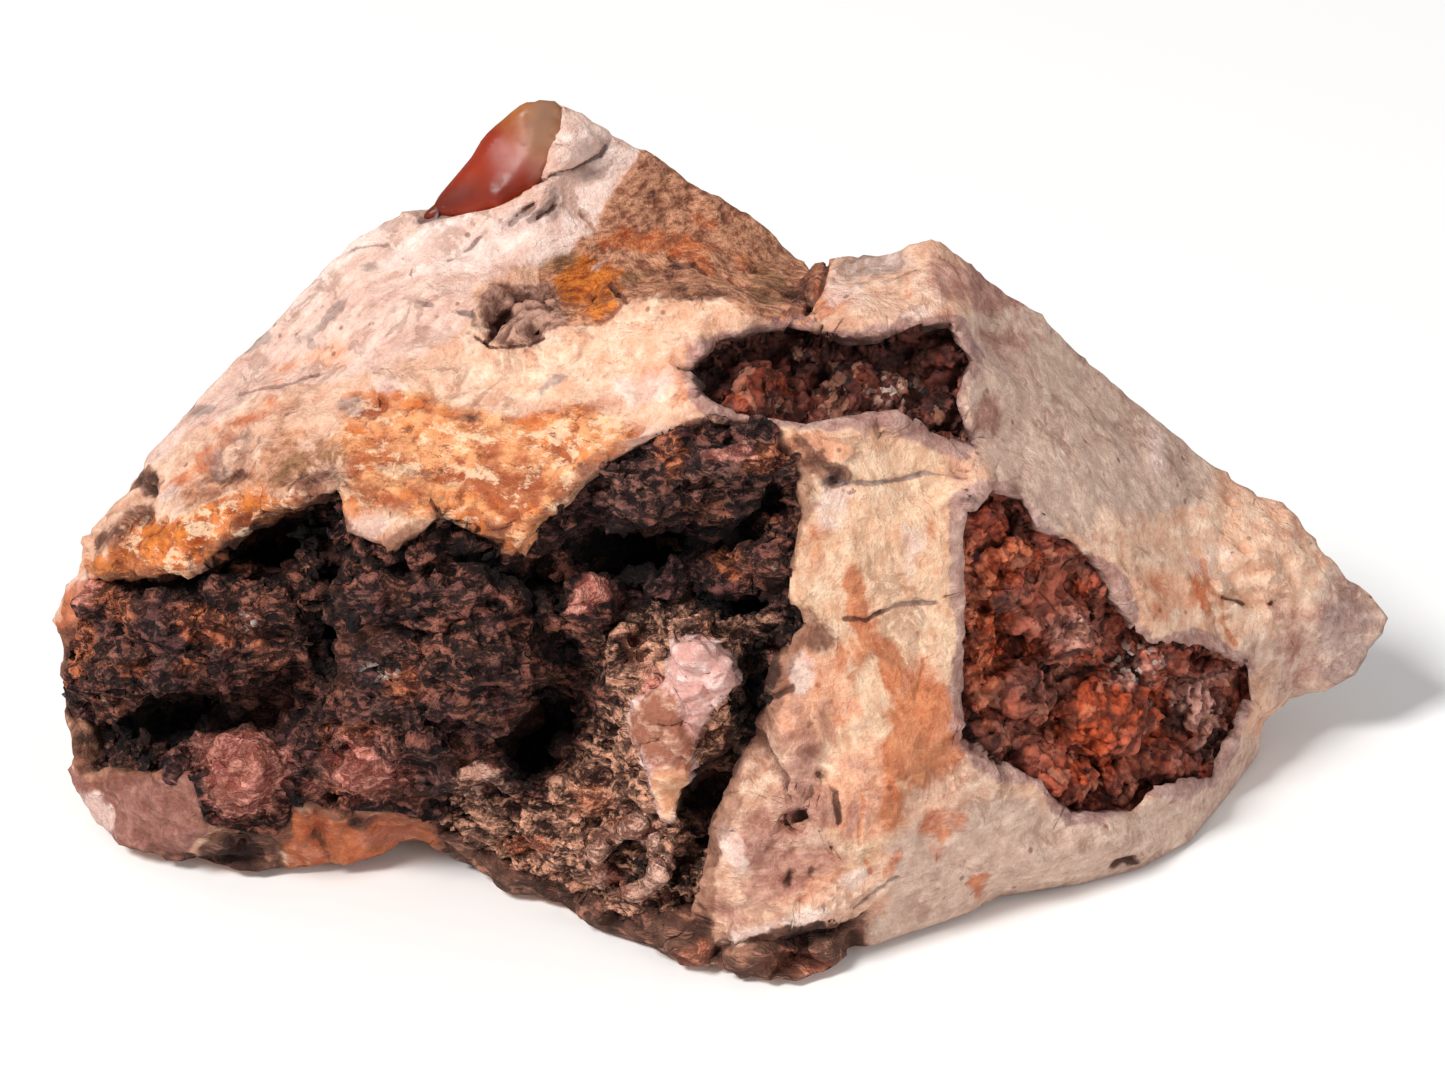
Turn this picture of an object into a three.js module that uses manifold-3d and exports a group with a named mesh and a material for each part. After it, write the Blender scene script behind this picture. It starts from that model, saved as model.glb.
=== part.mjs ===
// A rough piece of fire opal: a broken lump of pale rhyolite that carries a glassy opal seam at its peak,
// a brown, iron-stained crust along its front, and two open hollows, each lined with a knobbly crust.
//
// Millimetres, +Z up. The stone rests on its flat base at z = 0, with its show side towards -Y.
//
// The stone is drawn the way it is looked at: every corner of the show side is [across, up, back], where
// across and up are measured as they look from one fixed eye point, on the plane through the stone's middle,
// and back is how far back in Y the corner lies along that line of sight.

import * as THREE from "three";
import { mergeVertices } from "three/addons/utils/BufferGeometryUtils.js";
import Module from "manifold-3d";

const wasm = await Module();
wasm.setup();

// ---------------------------------------------------------------- driving dimensions

const LOOK_DOWN = THREE.MathUtils.degToRad(28); // the eye looks down on the show side by this angle
const EYE_DISTANCE = 270; // from the eye to the stone's middle
const MIDDLE = new THREE.Vector3(0, 0, 16);

const SEAT_GAP = 0.3; // left between two pieces that grew together
const CRUST_THICKNESS = 4.5; // of the brown crust along the front
const OPAL_THICKNESS = 5.5;
const BACK_WALL = 2; // of stone left behind a crust
const CLEAN_CUT = 0.02; // the thinnest sliver that is left along a cut
// How far below the face each hollow's crust starts, how much deeper its middle is, and how deep its bed is.
const TRIANGLE_HOLLOW = { rim: 1.5, bowl: 1.8, depth: 5.5 };
const UPPER_HOLLOW = { rim: 1.6, bowl: 2.6, depth: 6.5 };
const BOWL_SLOPE = 3; // how far in from the rim a hollow's crust goes on deepening
const THINNEST_SINK = 0.3; // a hollow's crust lies at least this far below the face

// The longest triangle edge on each kind of surface.
const FACET_EDGE = { show: 3.8, crust: 2, hollow: 1.5, back: 5, hidden: 9 };

// How far each kind of surface swells and dips, and the size of its lumps.
const STONE_GRAIN = { height: 0.35, size: 4.5 };
const BACK_FACETS = { height: 1.1, size: 9 };
const CRUST_LUMPS = { height: 0.9, size: 3.2 };
const HOLLOW_LUMPS = { height: 0.8, size: 2.6 };
const HOLE_ROUGHNESS = 0.4; // against the hole's radius
const HOLE_DEPTH = 0.9; // against the hole's mean width
const LUMP_HEIGHT = 0.6; // of a rounded lump, against its radius

// ---------------------------------------------------------------- the drawing

// The stone's outline, going round clockwise from the left: [across, up, back].
const OUTLINE = [
  [-32.9, -3, 3], [-32.2, -1.8, 2.5], [-31.4, 0.5, 3], [-29.5, 2.5, 4], [-28.5, 4.2, 5],
  [-25.5, 7.5, 7], [-21.8, 11.5, 8], [-18.5, 14.8, 9], [-16, 16.1, 9], [-14.4, 16.9, 9],
  [-12.8, 18.8, 9.5], [-11.8, 20.4, 10], [-10.2, 21.8, 10], [-9, 22.1, 10], [-7.5, 21.6, 10.5],
  [-5.5, 20.2, 11], [-3.2, 19.2, 11.5], [-1.5, 17.6, 12], [0.5, 17, 12.5], [2.2, 15.8, 13],
  [3.5, 14.4, 13], [4.5, 13.4, 11], [5.8, 13.8, 7], [8, 13.9, 5.5], [9.2, 14.5, 5],
  [10.5, 15, 5], [12, 14.1, 6], [13.2, 13, 7], [15.5, 11.5, 8], [17.5, 9.8, 9], [19.5, 7.8, 10],
  [21.5, 6.1, 10.5], [23.5, 4.5, 11], [25.8, 2.8, 11], [28, 1.8, 11], [29.5, 0.2, 10.5],
  [31, -1.5, 10], [32.5, -2.8, 10], [33.4, -3.9, 9], [33.2, -4.8, 8], [32.4, -5.5, 8],
  [31.8, -6.8, 7], [30.2, -7.5, 7], [28.5, -8, 7], [27.2, -9.2, 7], [26.8, -10.8, 5.5],
  [25.2, -13, 1.5], [23.5, -15, -3], [21, -16.4, -5.5], [18, -17.2, -7], [14, -17.8, -8.5],
  [12.5, -18.6, -10], [8, -20.1, -13], [6.5, -20.5, -14], [5.6, -21.4, -15.5],
  [3.8, -22.1, -16.5], [2.5, -22, -16.5], [0.8, -21.3, -15.5], [-1.5, -21.1, -15],
  [-3.5, -20.2, -13], [-6, -19.4, -11.5], [-8, -18.2, -9.5], [-10.5, -17.2, -8],
  [-12.5, -15.8, -5.5], [-14.5, -15, -4.5], [-16, -14.9, -4.5], [-18, -15.8, -5.5],
  [-20.5, -16.3, -6], [-24, -16.6, -6.5], [-26.5, -15.9, -5.5], [-29.5, -15.5, -5],
  [-31.2, -13.8, -2], [-32.4, -12.2, 0], [-32.2, -11, 0], [-32.8, -8.2, 1], [-33, -5.8, 2],
];

// Corners of the show side, along the forms they shape: [across, up, back].
const FORMS = {
  slabTop: [
    [-27, 4.2, 2.5], [-23.5, 6, 2], [-21, 8.5, 4], [-17.5, 12, 5], [-15, 14.5, 7], [-16.5, 13, 6],
  ],
  slabMiddle: [
    [-24.5, 3, -1], [-20, 5.5, -1], [-16.5, 8.5, 0.5], [-13.5, 12, 3], [-13, 14, 6],
    [-11, 14.8, 6.5],
  ],
  slabFront: [
    [-27, 0.5, -2.5], [-23, 1.8, -4],
  ],
  peakFace: [
    [-11, 17.5, 7.5], [-9.5, 19.5, 8.5], [-7.5, 19.8, 9], [-6.5, 18.2, 9.5], [-9, 16.8, 7],
  ],
  lip: [
    [-30.5, -1, -0.5], [-28.5, -1.8, -2], [-25.8, -1, -4], [-23.5, 0.5, -5], [-21.5, 1.8, -6],
    [-19.2, 2.5, -6.5], [-18.8, 0.5, -8], [-16.5, -0.4, -9], [-14, 1, -9], [-12, 0.2, -9.5],
    [-10, -0.6, -10], [-8.2, 1.8, -9.5], [-5.5, 3.9, -9], [-3, 5.2, -8.5], [-0.8, 6.2, -8],
  ],
  underLip: [
    [-31.2, -2.5, 0], [-28.5, -2.6, 0], [-25.8, -2, -1], [-23.5, -0.6, -1.5], [-21.5, 0.5, -2],
    [-19.6, 1.2, -2.5], [-18.4, -0.8, -6.5], [-16.4, -1.3, -7], [-14, 0, -7], [-12, -0.8, -6],
    [-10, -1.6, -6.5], [-7.9, 0, -7],
  ],
  stainedTop: [
    [-16, 6, -3], [-19, 4.5, -3.5], [-13, 3.5, -6], [-11, 6, -4.5], [-8, 7, -4], [-8, 4, -7],
    [-3.5, 9.5, -3.5], [-4, 7, -6], [-0.2, 9.5, -4.5], [-1, 8, -6.5],
  ],
  creamCrest: [
    [-11.8, 9.5, -0.5], [-9, 10.2, -1.5], [-6, 11.5, -2], [-3.5, 12.2, -2], [-1, 12.5, -2],
    [1.2, 11.8, -2.5], [3, 11.1, -1.5],
  ],
  valley: [
    [-12.1, 11.1, 1.5], [-10.5, 10.6, 3.5], [-8.6, 11.1, 4], [-6.5, 12, 4.5], [-3.8, 12.8, 4.5],
    [-1, 13.1, 5], [1.4, 12.4, 5.5], [3.8, 11.8, 5.5],
  ],
  facetRidge: [
    [-11, 13, 4], [-9.5, 14.2, 5.5], [-8, 15.4, 6.5], [-5.5, 17.5, 9], [-3.8, 18.8, 10.5],
  ],
  tanFacet: [
    [-8, 12.5, 5], [-5, 13.9, 6.5], [-1, 15, 9.5], [2, 13.8, 10.5],
  ],
  rightTop: [
    [5, 12.5, 3.5], [7.5, 12.8, 2.5], [10.5, 13, 2.5], [12.2, 12, 3],
  ],
  rightFlank: [
    [13, 10, 2.5], [15.5, 7, 2], [14.5, 5, -1], [17, 3.5, -1], [19, 5, 4], [20.5, 1, 0.5],
    [23, 1, 5], [26.5, -1, 6], [29, -3, 7], [31, -4.2, 8], [29, -6, 6.5],
  ],
  upperHollowRim: [
    [-1, 9, -6], [0.5, 9.8, -4], [3.5, 10.9, -1.5], [5.5, 10.2, -2], [8.5, 10.3, -1.5],
    [11.5, 10.6, -1], [12.5, 8.8, -1.5], [12.5, 5, -3.5], [10.5, 5.8, -4.5], [9, 6.5, -5],
    [4, 5.8, -6.5], [1.2, 5.8, -7.5],
  ],
  lobes: [
    [-7, 1, -8], [-5, 2.2, -9], [-1.5, 3.8, -9.5], [1.5, 4.8, -8.5], [3.8, 3.2, -8.5],
    [-6, -0.5, -7], [-3.5, 0.5, -7.5], [0, 1, -8], [2.8, 0, -8.5],
  ],
  leftCrust: [
    [-30.5, -5, -1.5], [-27, -4, -4], [-23.5, -2.8, -4], [-20.5, -2, -4], [-30.5, -8, -2],
    [-27, -7.2, -5], [-23, -6.5, -5], [-20, -5.5, -4.5], [-31, -10.6, 0.5], [-27, -10.1, -1.5],
    [-22.8, -9.1, -3],
  ],
  pinkFacet: [
    [-31.8, -11.8, -1.5], [-28.5, -11.5, -5], [-26.5, -11.1, -6.5], [-26.2, -13.2, -7.5],
    [-26.8, -14.9, -7],
  ],
  lowLeft: [
    [-24.2, -11.2, -8], [-22, -10.8, -7], [-23.8, -13.8, -7.5], [-23.5, -15.4, -5.5],
    [-21.5, -13, -7.5], [-18.5, -12.9, -8], [-14.8, -13.6, -7.5], [-21, -15.2, -7],
  ],
  bigLump: [
    [-18.8, -3, -7.5], [-18.8, -5.2, -6.5], [-17.5, -2.5, -9], [-14.5, -2.5, -9.5],
    [-11.5, -3.5, -9.5], [-9, -5, -9.5], [-17, -7, -10], [-13.5, -7.5, -11], [-10, -7, -10.5],
    [-18.5, -9.8, -8.5], [-14.5, -10.5, -10], [-11, -10.2, -9.5], [-8.5, -10, -7.5],
    [-7.8, -7.5, -8],
  ],
  midCrust: [
    [-6.5, -3, -9], [-5.5, -5.2, -9], [-4, -2.5, -7.5], [-1.5, -2, -9], [1.8, -1.8, -9],
    [-1, -4, -9.5],
  ],
  lowCrust: [
    [-12.5, -13, -9], [-8.8, -14, -10.5], [-6.5, -12, -10.5], [-6, -8, -10.5], [-5, -16, -12.5],
    [-8, -16.5, -11], [-4, -18.5, -13.5],
  ],
  nodule: [
    [-3.5, -6, -11.5], [-1.5, -5, -12.5], [0.8, -7.2, -13], [-3.5, -9, -12.5], [-1.5, -10.5, -14],
    [-2.5, -14.2, -13.5], [-0.2, -9.5, -13.2],
  ],
  crevice: [
    [1.6, -5, -9.5], [1.9, -8, -10.5], [0.2, -11.5, -11.5], [-0.8, -14.5, -12.5],
  ],
  prow: [
    [4, 5, -7.5], [4, 1, -9.5], [3.8, -3.5, -11.5], [2.8, -7.5, -13], [1.2, -12.5, -14.8],
    [0, -16.5, -15.6],
  ],
  foot: [
    [-2.8, -17.5, -14.5], [-0.2, -19.2, -15.2], [2, -19.8, -15.6], [5.5, -18.6, -15],
    [0, -20.2, -13.5], [3.5, -20.4, -13.8], [6.5, -19.5, -13.5], [2, -21.1, -16],
  ],
  frontFace: [
    [8, 5, -6.5], [12, 4, -4.5], [8, 0.5, -8.5], [7.5, -4, -10.5], [11, -5, -9.8],
    [6.5, -8.5, -12.5], [10, -9.5, -11.8], [4, -13.8, -15], [8, -13, -14], [12, -13.5, -12],
    [4, -17.5, -15.2], [8, -18, -14], [12, -17, -11.5],
  ],
  triangleRim: [
    [13.2, 2.5, -6], [16.5, 0, -5], [20, -2.5, -2.5], [23, -4.5, 0.5], [26, -5.8, 3],
    [26.4, -8.5, 3], [24.2, -11.2, -1], [20.5, -13.2, -5.5], [17, -13.2, -8],
    [13.2, -11.2, -10.5], [11.6, -7.5, -10], [12.2, -2.5, -8.5],
  ],
  triangleMiddle: [
    [16, -5.5, -6.5], [20, -8, -4.5],
  ],
  lowRight: [
    [16, -16, -9.5], [20, -15, -7], [23.5, -12.5, -2.5], [25.8, -10, 2],
  ],
};

// Corners of the base, which lie on z = 0, and of the far side: [x, y, z].
const BASE = [
  [3.2, -14.3, 0], [-2.5, -11.5, 0], [-7.5, -7.5, 0], [-13, -3, 0], [-18, -3.6, 0], [-24, -4.3, 0],
  [-28.5, -2, 0], [-30, 4, 0], [-26.5, 11, 0], [-16, 15, 0], [-3, 17, 0], [10, 16.5, 0], [20, 14, 0],
  [25, 9.5, 0], [24.5, 3.5, 0], [22, -0.6, 0], [17.5, -4.4, 0], [12, -7, 0], [8.5, -10.4, 0],
  [5.6, -13, 0],
];
const FAR_SIDE = [
  [-20, 13, 19.5], [-13, 15, 25], [-7, 15, 29], [-3, 17, 22], [3, 17.5, 17], [10, 14.5, 21],
  [13, 17, 16], [20, 16, 12.5], [27, 14.2, 8], [-27, 11, 13], [-30.5, 8, 8], [-24, 16, 9],
  [-13, 19, 13], [-1, 20.3, 10], [12, 19.5, 10], [22, 17.6, 6.5], [-28, 13, 3.5], [-14, 18.2, 4],
  [0, 19.6, 3.5], [12, 19, 3.5], [23.5, 15, 2.5], [29.5, 11, 3.8], [28, 8.5, 1.2], [-31, 4, 2.5],
];

// Outlines on the show side: [across, up].
const BROWN_CRUST_OUTLINE = [
  [-31.2, -2.2], [-28.5, -2.2], [-25.8, -1.3], [-23.5, 0.2], [-21.5, 1.5], [-19.3, 2.2], [-18.9, 0.2],
  [-16.5, -0.7], [-14, 0.7], [-12, 0], [-10, -0.9], [-8.2, 1.5], [-5.5, 3.6], [-3, 4.9], [-0.9, 5.7],
  [2, 5.4], [3.5, 3.8], [4, 1.6], [3.3, -1], [3.1, -3], [4.2, -4.2], [2.6, -6.2], [1.9, -9.4],
  [0.6, -11.8], [-0.4, -14], [-1.1, -16.2], [-1.4, -18.4], [-4.2, -18.6], [-7.6, -16.8], [-10.6, -15.8],
  [-13, -14], [-16, -13.2], [-21.4, -12.9], [-22.4, -14.4], [-25.4, -13.8], [-26.1, -11.4],
  [-31.2, -11.3], [-31.8, -8], [-32, -5.6],
];
const TRIANGLE_OUTLINE = [
  [12.4, 1.4], [13.6, 2.4], [14.9, 1.9], [15.6, 0.4], [17.2, -0.2], [18.9, -1.6], [20.1, -3.9],
  [21.2, -5.2], [23.6, -5.4], [26, -6.4], [26.2, -8], [25.3, -9.4], [24.3, -11.6], [21.6, -12.2],
  [20.4, -13.3], [17.6, -13.4], [16, -11.9], [13.6, -11.3], [12.1, -10], [12.1, -6.4], [12.5, -3],
];
const UPPER_OUTLINE = [
  [-1.3, 8.4], [0, 9.7], [1.8, 10.2], [3.4, 10.5], [5.6, 10], [8.6, 10.3], [11.4, 10.6], [12.3, 8.9],
  [11.6, 7.2], [12.3, 5], [10.5, 5.4], [8.9, 6.5], [7, 6.1], [4, 6], [1.6, 6.3], [-0.3, 7.2],
];
const OPAL_OUTLINE = [
  [-15.2, 16.5], [-13.6, 18.6], [-12.4, 20.9], [-10.4, 22.6], [-8.4, 22.6], [-8.2, 20.4], [-9.1, 18.3],
  [-11.1, 17], [-12.9, 16.7],
];

// Holes broken into the stone: where they look to be, how wide and tall, and the turn in degrees.
const HOLES = [
  { at: [-22.2, 0], wide: 6, tall: 2.2, turn: 16 }, { at: [-20, 0.2], wide: 2.2, tall: 3.4, turn: 10 },
  { at: [-11.2, -1.5], wide: 5.8, tall: 1.4, turn: -25 }, { at: [-8.6, -2.8], wide: 3, tall: 1.2, turn: -50 },
  { at: [-4.1, -0.4], wide: 5, tall: 2.2, turn: 4 }, { at: [1.7, 1.3], wide: 4, tall: 1.5, turn: 42 },
  { at: [0.8, -2.7], wide: 3.6, tall: 1.2, turn: -4 }, { at: [-27.6, -8.9], wide: 6.6, tall: 1.9, turn: 16 },
  { at: [-9.4, -10], wide: 4.6, tall: 2.5, turn: 48 }, { at: [-8.4, -5.4], wide: 3, tall: 1.3, turn: -36 },
  { at: [-19.5, -4.2], wide: 1.4, tall: 5.6, turn: 3 }, { at: [1.5, -6.6], wide: 1.6, tall: 4.8, turn: -20 },
  { at: [4.1, -13.7], wide: 1.5, tall: 1.3, turn: -20 }, { at: [4.6, -19.3], wide: 5, tall: 0.9, turn: 6 },
];


// Rounded lumps that stand out of the stone and its crusts: where they look to be, and how wide they are.
const STONE_LUMPS = [
  { at: [-16.6, -1.8], wide: 3.6 }, { at: [-13.4, -2.6], wide: 3.2 }, { at: [-16, -5.4], wide: 4 },
  { at: [-12.2, -6.2], wide: 4.6 }, { at: [-10.6, -8.6], wide: 2.8 }, { at: [-15.8, -9.2], wide: 3.8 },
  { at: [-7.6, -3.4], wide: 2.8 }, { at: [-2.6, -2.6], wide: 2.4 }, { at: [-22.6, -4.4], wide: 3.2 },
  { at: [-29.6, -6], wide: 2.6 }, { at: [-26.8, -7.2], wide: 2.6 }, { at: [-23.6, -8.2], wide: 2.4 },
  { at: [-23.9, -11.6], wide: 4.4 }, { at: [-4.2, -16.2], wide: 3.8 }, { at: [-11.2, -12], wide: 3 },
  { at: [-7.8, -13.2], wide: 2.4 }, { at: [-1, -5.6], wide: 3.4 }, { at: [-3.6, 2.2], wide: 3.6 },
  { at: [0.2, 3.2], wide: 3.6 }, { at: [-6.8, 1], wide: 2.6 }, { at: [2.6, -0.8], wide: 2.6 },
  { at: [-18.2, -12], wide: 3 }, { at: [-28.6, -3.8], wide: 2.4 },
];
const TRIANGLE_LUMPS = [
  { at: [19.2, -9.8], wide: 5.4 }, { at: [17.4, -12], wide: 3.4 }, { at: [15, -3.6], wide: 3.2 },
  { at: [17.4, -5.2], wide: 4.4 }, { at: [14.8, -7.6], wide: 4.2 }, { at: [21.8, -7.4], wide: 3.6 },
  { at: [24, -8.4], wide: 2.8 }, { at: [14, -0.4], wide: 2.2 },
];
const UPPER_LUMPS = [
  { at: [1.6, 7.4], wide: 3.4 }, { at: [6.8, 8], wide: 2.6 }, { at: [10.6, 8.8], wide: 2.4 },
];

// ---------------------------------------------------------------- the line of sight

const SIGHT = new THREE.Vector3(0, Math.cos(LOOK_DOWN), -Math.sin(LOOK_DOWN));
const SIGHT_UP = new THREE.Vector3(0, Math.sin(LOOK_DOWN), Math.cos(LOOK_DOWN));
const EYE = MIDDLE.clone().addScaledVector(SIGHT, -EYE_DISTANCE);

// The point seen at (across, up), as far behind the middle plane as depth says.
function seenAt(across, up, depth = 0) {
  const aim = MIDDLE.clone().addScaledVector(SIGHT_UP, up);
  aim.x += across;
  return EYE.clone().lerp(aim, (EYE_DISTANCE + depth) / EYE_DISTANCE);
}

// The point seen at (across, up) that lies at y = back.
function cornerAt([across, up, back]) {
  const aim = seenAt(across, up);
  return EYE.clone().lerp(aim, (back - EYE.y) / (aim.y - EYE.y));
}

// Where a point looks to be: its across and up.
function looksAt(point) {
  const away = point.clone().sub(EYE);
  const scale = EYE_DISTANCE / away.dot(SIGHT);
  return new THREE.Vector2(away.x * scale, away.dot(SIGHT_UP) * scale);
}

// ---------------------------------------------------------------- repeatable noise

// A fixed random number from 0 to 1 for each whole-numbered point.
function dice(x, y, z, seed) {
  let h = Math.imul(x, 374761393) ^ Math.imul(y, 668265263) ^ Math.imul(z, 1440662683);
  h ^= Math.imul(seed, 974634777);
  h = Math.imul(h ^ (h >>> 13), 1274126177);
  h = Math.imul(h ^ (h >>> 15), 2246822519);
  return ((h ^ (h >>> 16)) >>> 0) / 4294967296;
}

// Smooth noise from -1 to 1, with hills about size across.
function hills(point, size, seed) {
  const [x, y, z] = point.toArray().map((v) => v / size);
  const [i, j, k] = [x, y, z].map(Math.floor);
  const ease = (t) => t * t * (3 - 2 * t);
  const [u, v, w] = [ease(x - i), ease(y - j), ease(z - k)];
  const row = (b, c) => THREE.MathUtils.lerp(dice(i, j + b, k + c, seed), dice(i + 1, j + b, k + c, seed), u);
  const layer = (c) => THREE.MathUtils.lerp(row(0, c), row(1, c), v);
  return 2 * THREE.MathUtils.lerp(layer(0), layer(1), w) - 1;
}

// Lumps about size across, with creases between them: 1 at a lump's middle and below 0 in a crease.
function lumps(point, size, seed) {
  const cell = point.clone().divideScalar(size);
  const home = cell.clone().floor();
  let nearest = Infinity;
  for (const di of [-1, 0, 1])
    for (const dj of [-1, 0, 1])
      for (const dk of [-1, 0, 1]) {
        const at = new THREE.Vector3(home.x + di, home.y + dj, home.z + dk);
        const jitter = [1, 2, 3].map((n) => dice(at.x, at.y, at.z, seed + n));
        nearest = Math.min(nearest, at.add(new THREE.Vector3(...jitter)).distanceTo(cell));
      }
  return 1 - 1.9 * nearest;
}

// ---------------------------------------------------------------- meshes of points and faces

// Which side of the line a-b the point c lies on: positive on its left.
const turn = (a, b, c) => (b.x - a.x) * (c.y - a.y) - (b.y - a.y) * (c.x - a.x);

// Whether d lies inside the circle through a, b and c.
function inCircle(a, b, c, d) {
  const rows = [a, b, c].map((p) => [p.x - d.x, p.y - d.y, (p.x - d.x) ** 2 + (p.y - d.y) ** 2]);
  return new THREE.Matrix3().set(...rows.flat()).determinant() > 1e-9;
}

// Triangles over an outline and the points inside it, as even as flipping edges can make them.
function triangulate(outline, inner) {
  const points = [...outline, ...inner];
  const faces = THREE.ShapeUtils.triangulateShape(outline, []).map(([a, b, c]) =>
    turn(points[a], points[b], points[c]) > 0 ? [a, b, c] : [a, c, b],
  );
  for (let n = outline.length; n < points.length; n++) {
    const holds = ([a, b, c]) =>
      [[a, b], [b, c], [c, a]].every(([from, to]) => turn(points[from], points[to], points[n]) >= 0);
    const home = faces.findIndex(holds);
    if (home < 0) throw new Error(`the corner at ${points[n].toArray()} lies outside the outline`);
    const [a, b, c] = faces[home];
    faces.splice(home, 1, [a, b, n], [b, c, n], [c, a, n]);
  }
  while (flipEdges(points, faces));
  return faces;
}

// One round of edge flips. Returns whether any edge was flipped.
function flipEdges(points, faces) {
  const owner = new Map();
  faces.forEach((face, i) => {
    for (let k = 0; k < 3; k++) owner.set(`${face[k]} ${face[(k + 1) % 3]}`, [i, face[(k + 2) % 3]]);
  });
  const touched = new Set();
  for (const [edge, [i, top]] of owner) {
    const [a, b] = edge.split(" ").map(Number);
    const [j, bottom] = owner.get(`${b} ${a}`) ?? [];
    if (j === undefined || touched.has(i) || touched.has(j)) continue;
    const [pa, pb, pt, pm] = [a, b, top, bottom].map((n) => points[n]);
    if (!inCircle(pa, pb, pt, pm) || turn(pa, pm, pt) <= 1e-9 || turn(pm, pb, pt) <= 1e-9) continue;
    faces[i] = [a, bottom, top];
    faces[j] = [bottom, b, top];
    touched.add(i).add(j);
  }
  return touched.size > 0;
}

// Splits each edge that is longer than longest(its middle, the side it is on), until none is.
function refine(mesh, longest) {
  const points = [...mesh.points];
  const sides = [...mesh.sides];
  let { faces } = mesh;
  for (let split = true; split; ) {
    split = false;
    const middles = new Map();
    const middleOf = (a, b) => {
      const key = a < b ? `${a} ${b}` : `${b} ${a}`;
      if (!middles.has(key)) {
        const middle = points[a].clone().lerp(points[b], 0.5);
        const side = (sides[a] + sides[b]) / 2;
        const long = points[a].distanceTo(points[b]) > longest(middle, side);
        middles.set(key, long ? points.push(middle) - 1 : -1);
        if (long) sides.push(side);
      }
      return middles.get(key);
    };
    faces = faces.flatMap(([a, b, c]) => {
      const [ab, bc, ca] = [middleOf(a, b), middleOf(b, c), middleOf(c, a)];
      const marks = [ab, bc, ca].filter((m) => m >= 0).length;
      split ||= marks > 0;
      if (marks === 3) return [[a, ab, ca], [ab, b, bc], [ca, bc, c], [ab, bc, ca]];
      for (const [p, q, r, pq, qr] of [[a, b, c, ab, bc], [b, c, a, bc, ca], [c, a, b, ca, ab]]) {
        if (marks === 1 && pq >= 0) return [[p, pq, r], [pq, q, r]];
        if (marks === 2 && pq >= 0 && qr >= 0) return [[p, pq, r], [pq, q, qr], [pq, qr, r]];
      }
      return [[a, b, c]];
    });
  }
  return { points, sides, faces };
}

// Moves the show side towards the eye by howFar(point, side), and the far side as far away from it. Every
// point still looks to be in the same place, so the surface never folds over itself.
function raise(mesh, howFar) {
  const points = mesh.points.map((point, n) => {
    const side = mesh.sides[n];
    return point.clone().lerp(EYE, (side * howFar(point, side)) / point.distanceTo(EYE));
  });
  return { ...mesh, points };
}

function solidOf({ points, faces }) {
  const mesh = new wasm.Mesh({
    numProp: 3,
    vertProperties: new Float32Array(points.flatMap((p) => p.toArray())),
    triVerts: new Uint32Array(faces.flat()),
  });
  return new wasm.Manifold(mesh);
}

function geometryOf(solid) {
  const { vertProperties, triVerts } = solid.getMesh();
  const geometry = new THREE.BufferGeometry();
  geometry.setAttribute("position", new THREE.BufferAttribute(vertProperties, 3));
  geometry.setIndex(new THREE.BufferAttribute(triVerts, 1));
  geometry.computeVertexNormals();
  return geometry;
}

// ---------------------------------------------------------------- outlines and cutters

const flat = (outline) => outline.map(([across, up]) => new THREE.Vector2(across, up));

// An outline moved out by a distance, or in by a negative one.
function grow(outline, by) {
  const sign = THREE.ShapeUtils.isClockWise(outline) ? -1 : 1;
  const outwards = (a, b) => new THREE.Vector2(b.y - a.y, a.x - b.x).normalize().multiplyScalar(sign);
  return outline.map((p, n) => {
    const before = outwards(outline.at(n - 1), p);
    const after = outwards(p, outline[(n + 1) % outline.length]);
    const both = before.clone().add(after).normalize();
    return p.clone().addScaledVector(both, by / Math.max(0.5, both.dot(after)));
  });
}

function inside(outline, point) {
  let within = false;
  outline.forEach((a, n) => {
    const b = outline[(n + 1) % outline.length];
    if (a.y > point.y !== b.y > point.y && point.x < ((b.x - a.x) * (point.y - a.y)) / (b.y - a.y) + a.x)
      within = !within;
  });
  return within;
}

const NEAR = -35; // a cutter along the line of sight starts well in front of the stone
const FAR = 35; // and ends well behind it

// The solid that an outline sweeps out along the line of sight.
function sightPrism(outline) {
  const turned = THREE.ShapeUtils.isClockWise(outline) ? [...outline].reverse() : outline;
  const count = turned.length;
  const points = [NEAR, FAR].flatMap((depth) => turned.map(({ x, y }) => seenAt(x, y, depth)));
  const faces = THREE.ShapeUtils.triangulateShape(turned, []).flatMap(([a, b, c]) => {
    const [p, q] = turn(turned[a], turned[b], turned[c]) > 0 ? [b, c] : [c, b];
    return [[a, p, q], [a + count, q + count, p + count]];
  });
  for (let n = 0; n < count; n++) {
    const next = (n + 1) % count;
    faces.push([n, n + count, next + count], [n, next + count, next]);
  }
  return solidOf({ points, faces });
}

const pushedBack = (solid, depth) => solid.translate(SIGHT.clone().multiplyScalar(depth).toArray());

// ---------------------------------------------------------------- the whole stone, before it is cut apart

const rim = OUTLINE.map(cornerAt);
const showSide = Object.values(FORMS).flat().map(cornerAt);
const farSide = [...BASE, ...FAR_SIDE].map((corner) => new THREE.Vector3(...corner));

const frontFaces = triangulate(rim.map(looksAt), showSide.map(looksAt));
const backFaces = triangulate(rim.map(looksAt), farSide.map(looksAt));
const skipShowSide = (n) => (n < rim.length ? n : n + showSide.length);
// A point's side is 1 on the show side, -1 on the far side and 0 on the rim between them.
const plain = {
  points: [...rim, ...showSide, ...farSide],
  sides: [...rim.map(() => 0), ...showSide.map(() => 1), ...farSide.map(() => -1)],
  faces: [...frontFaces, ...backFaces.map(([a, b, c]) => [a, c, b].map(skipShowSide))],
};
const plainSolid = solidOf(plain);

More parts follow.
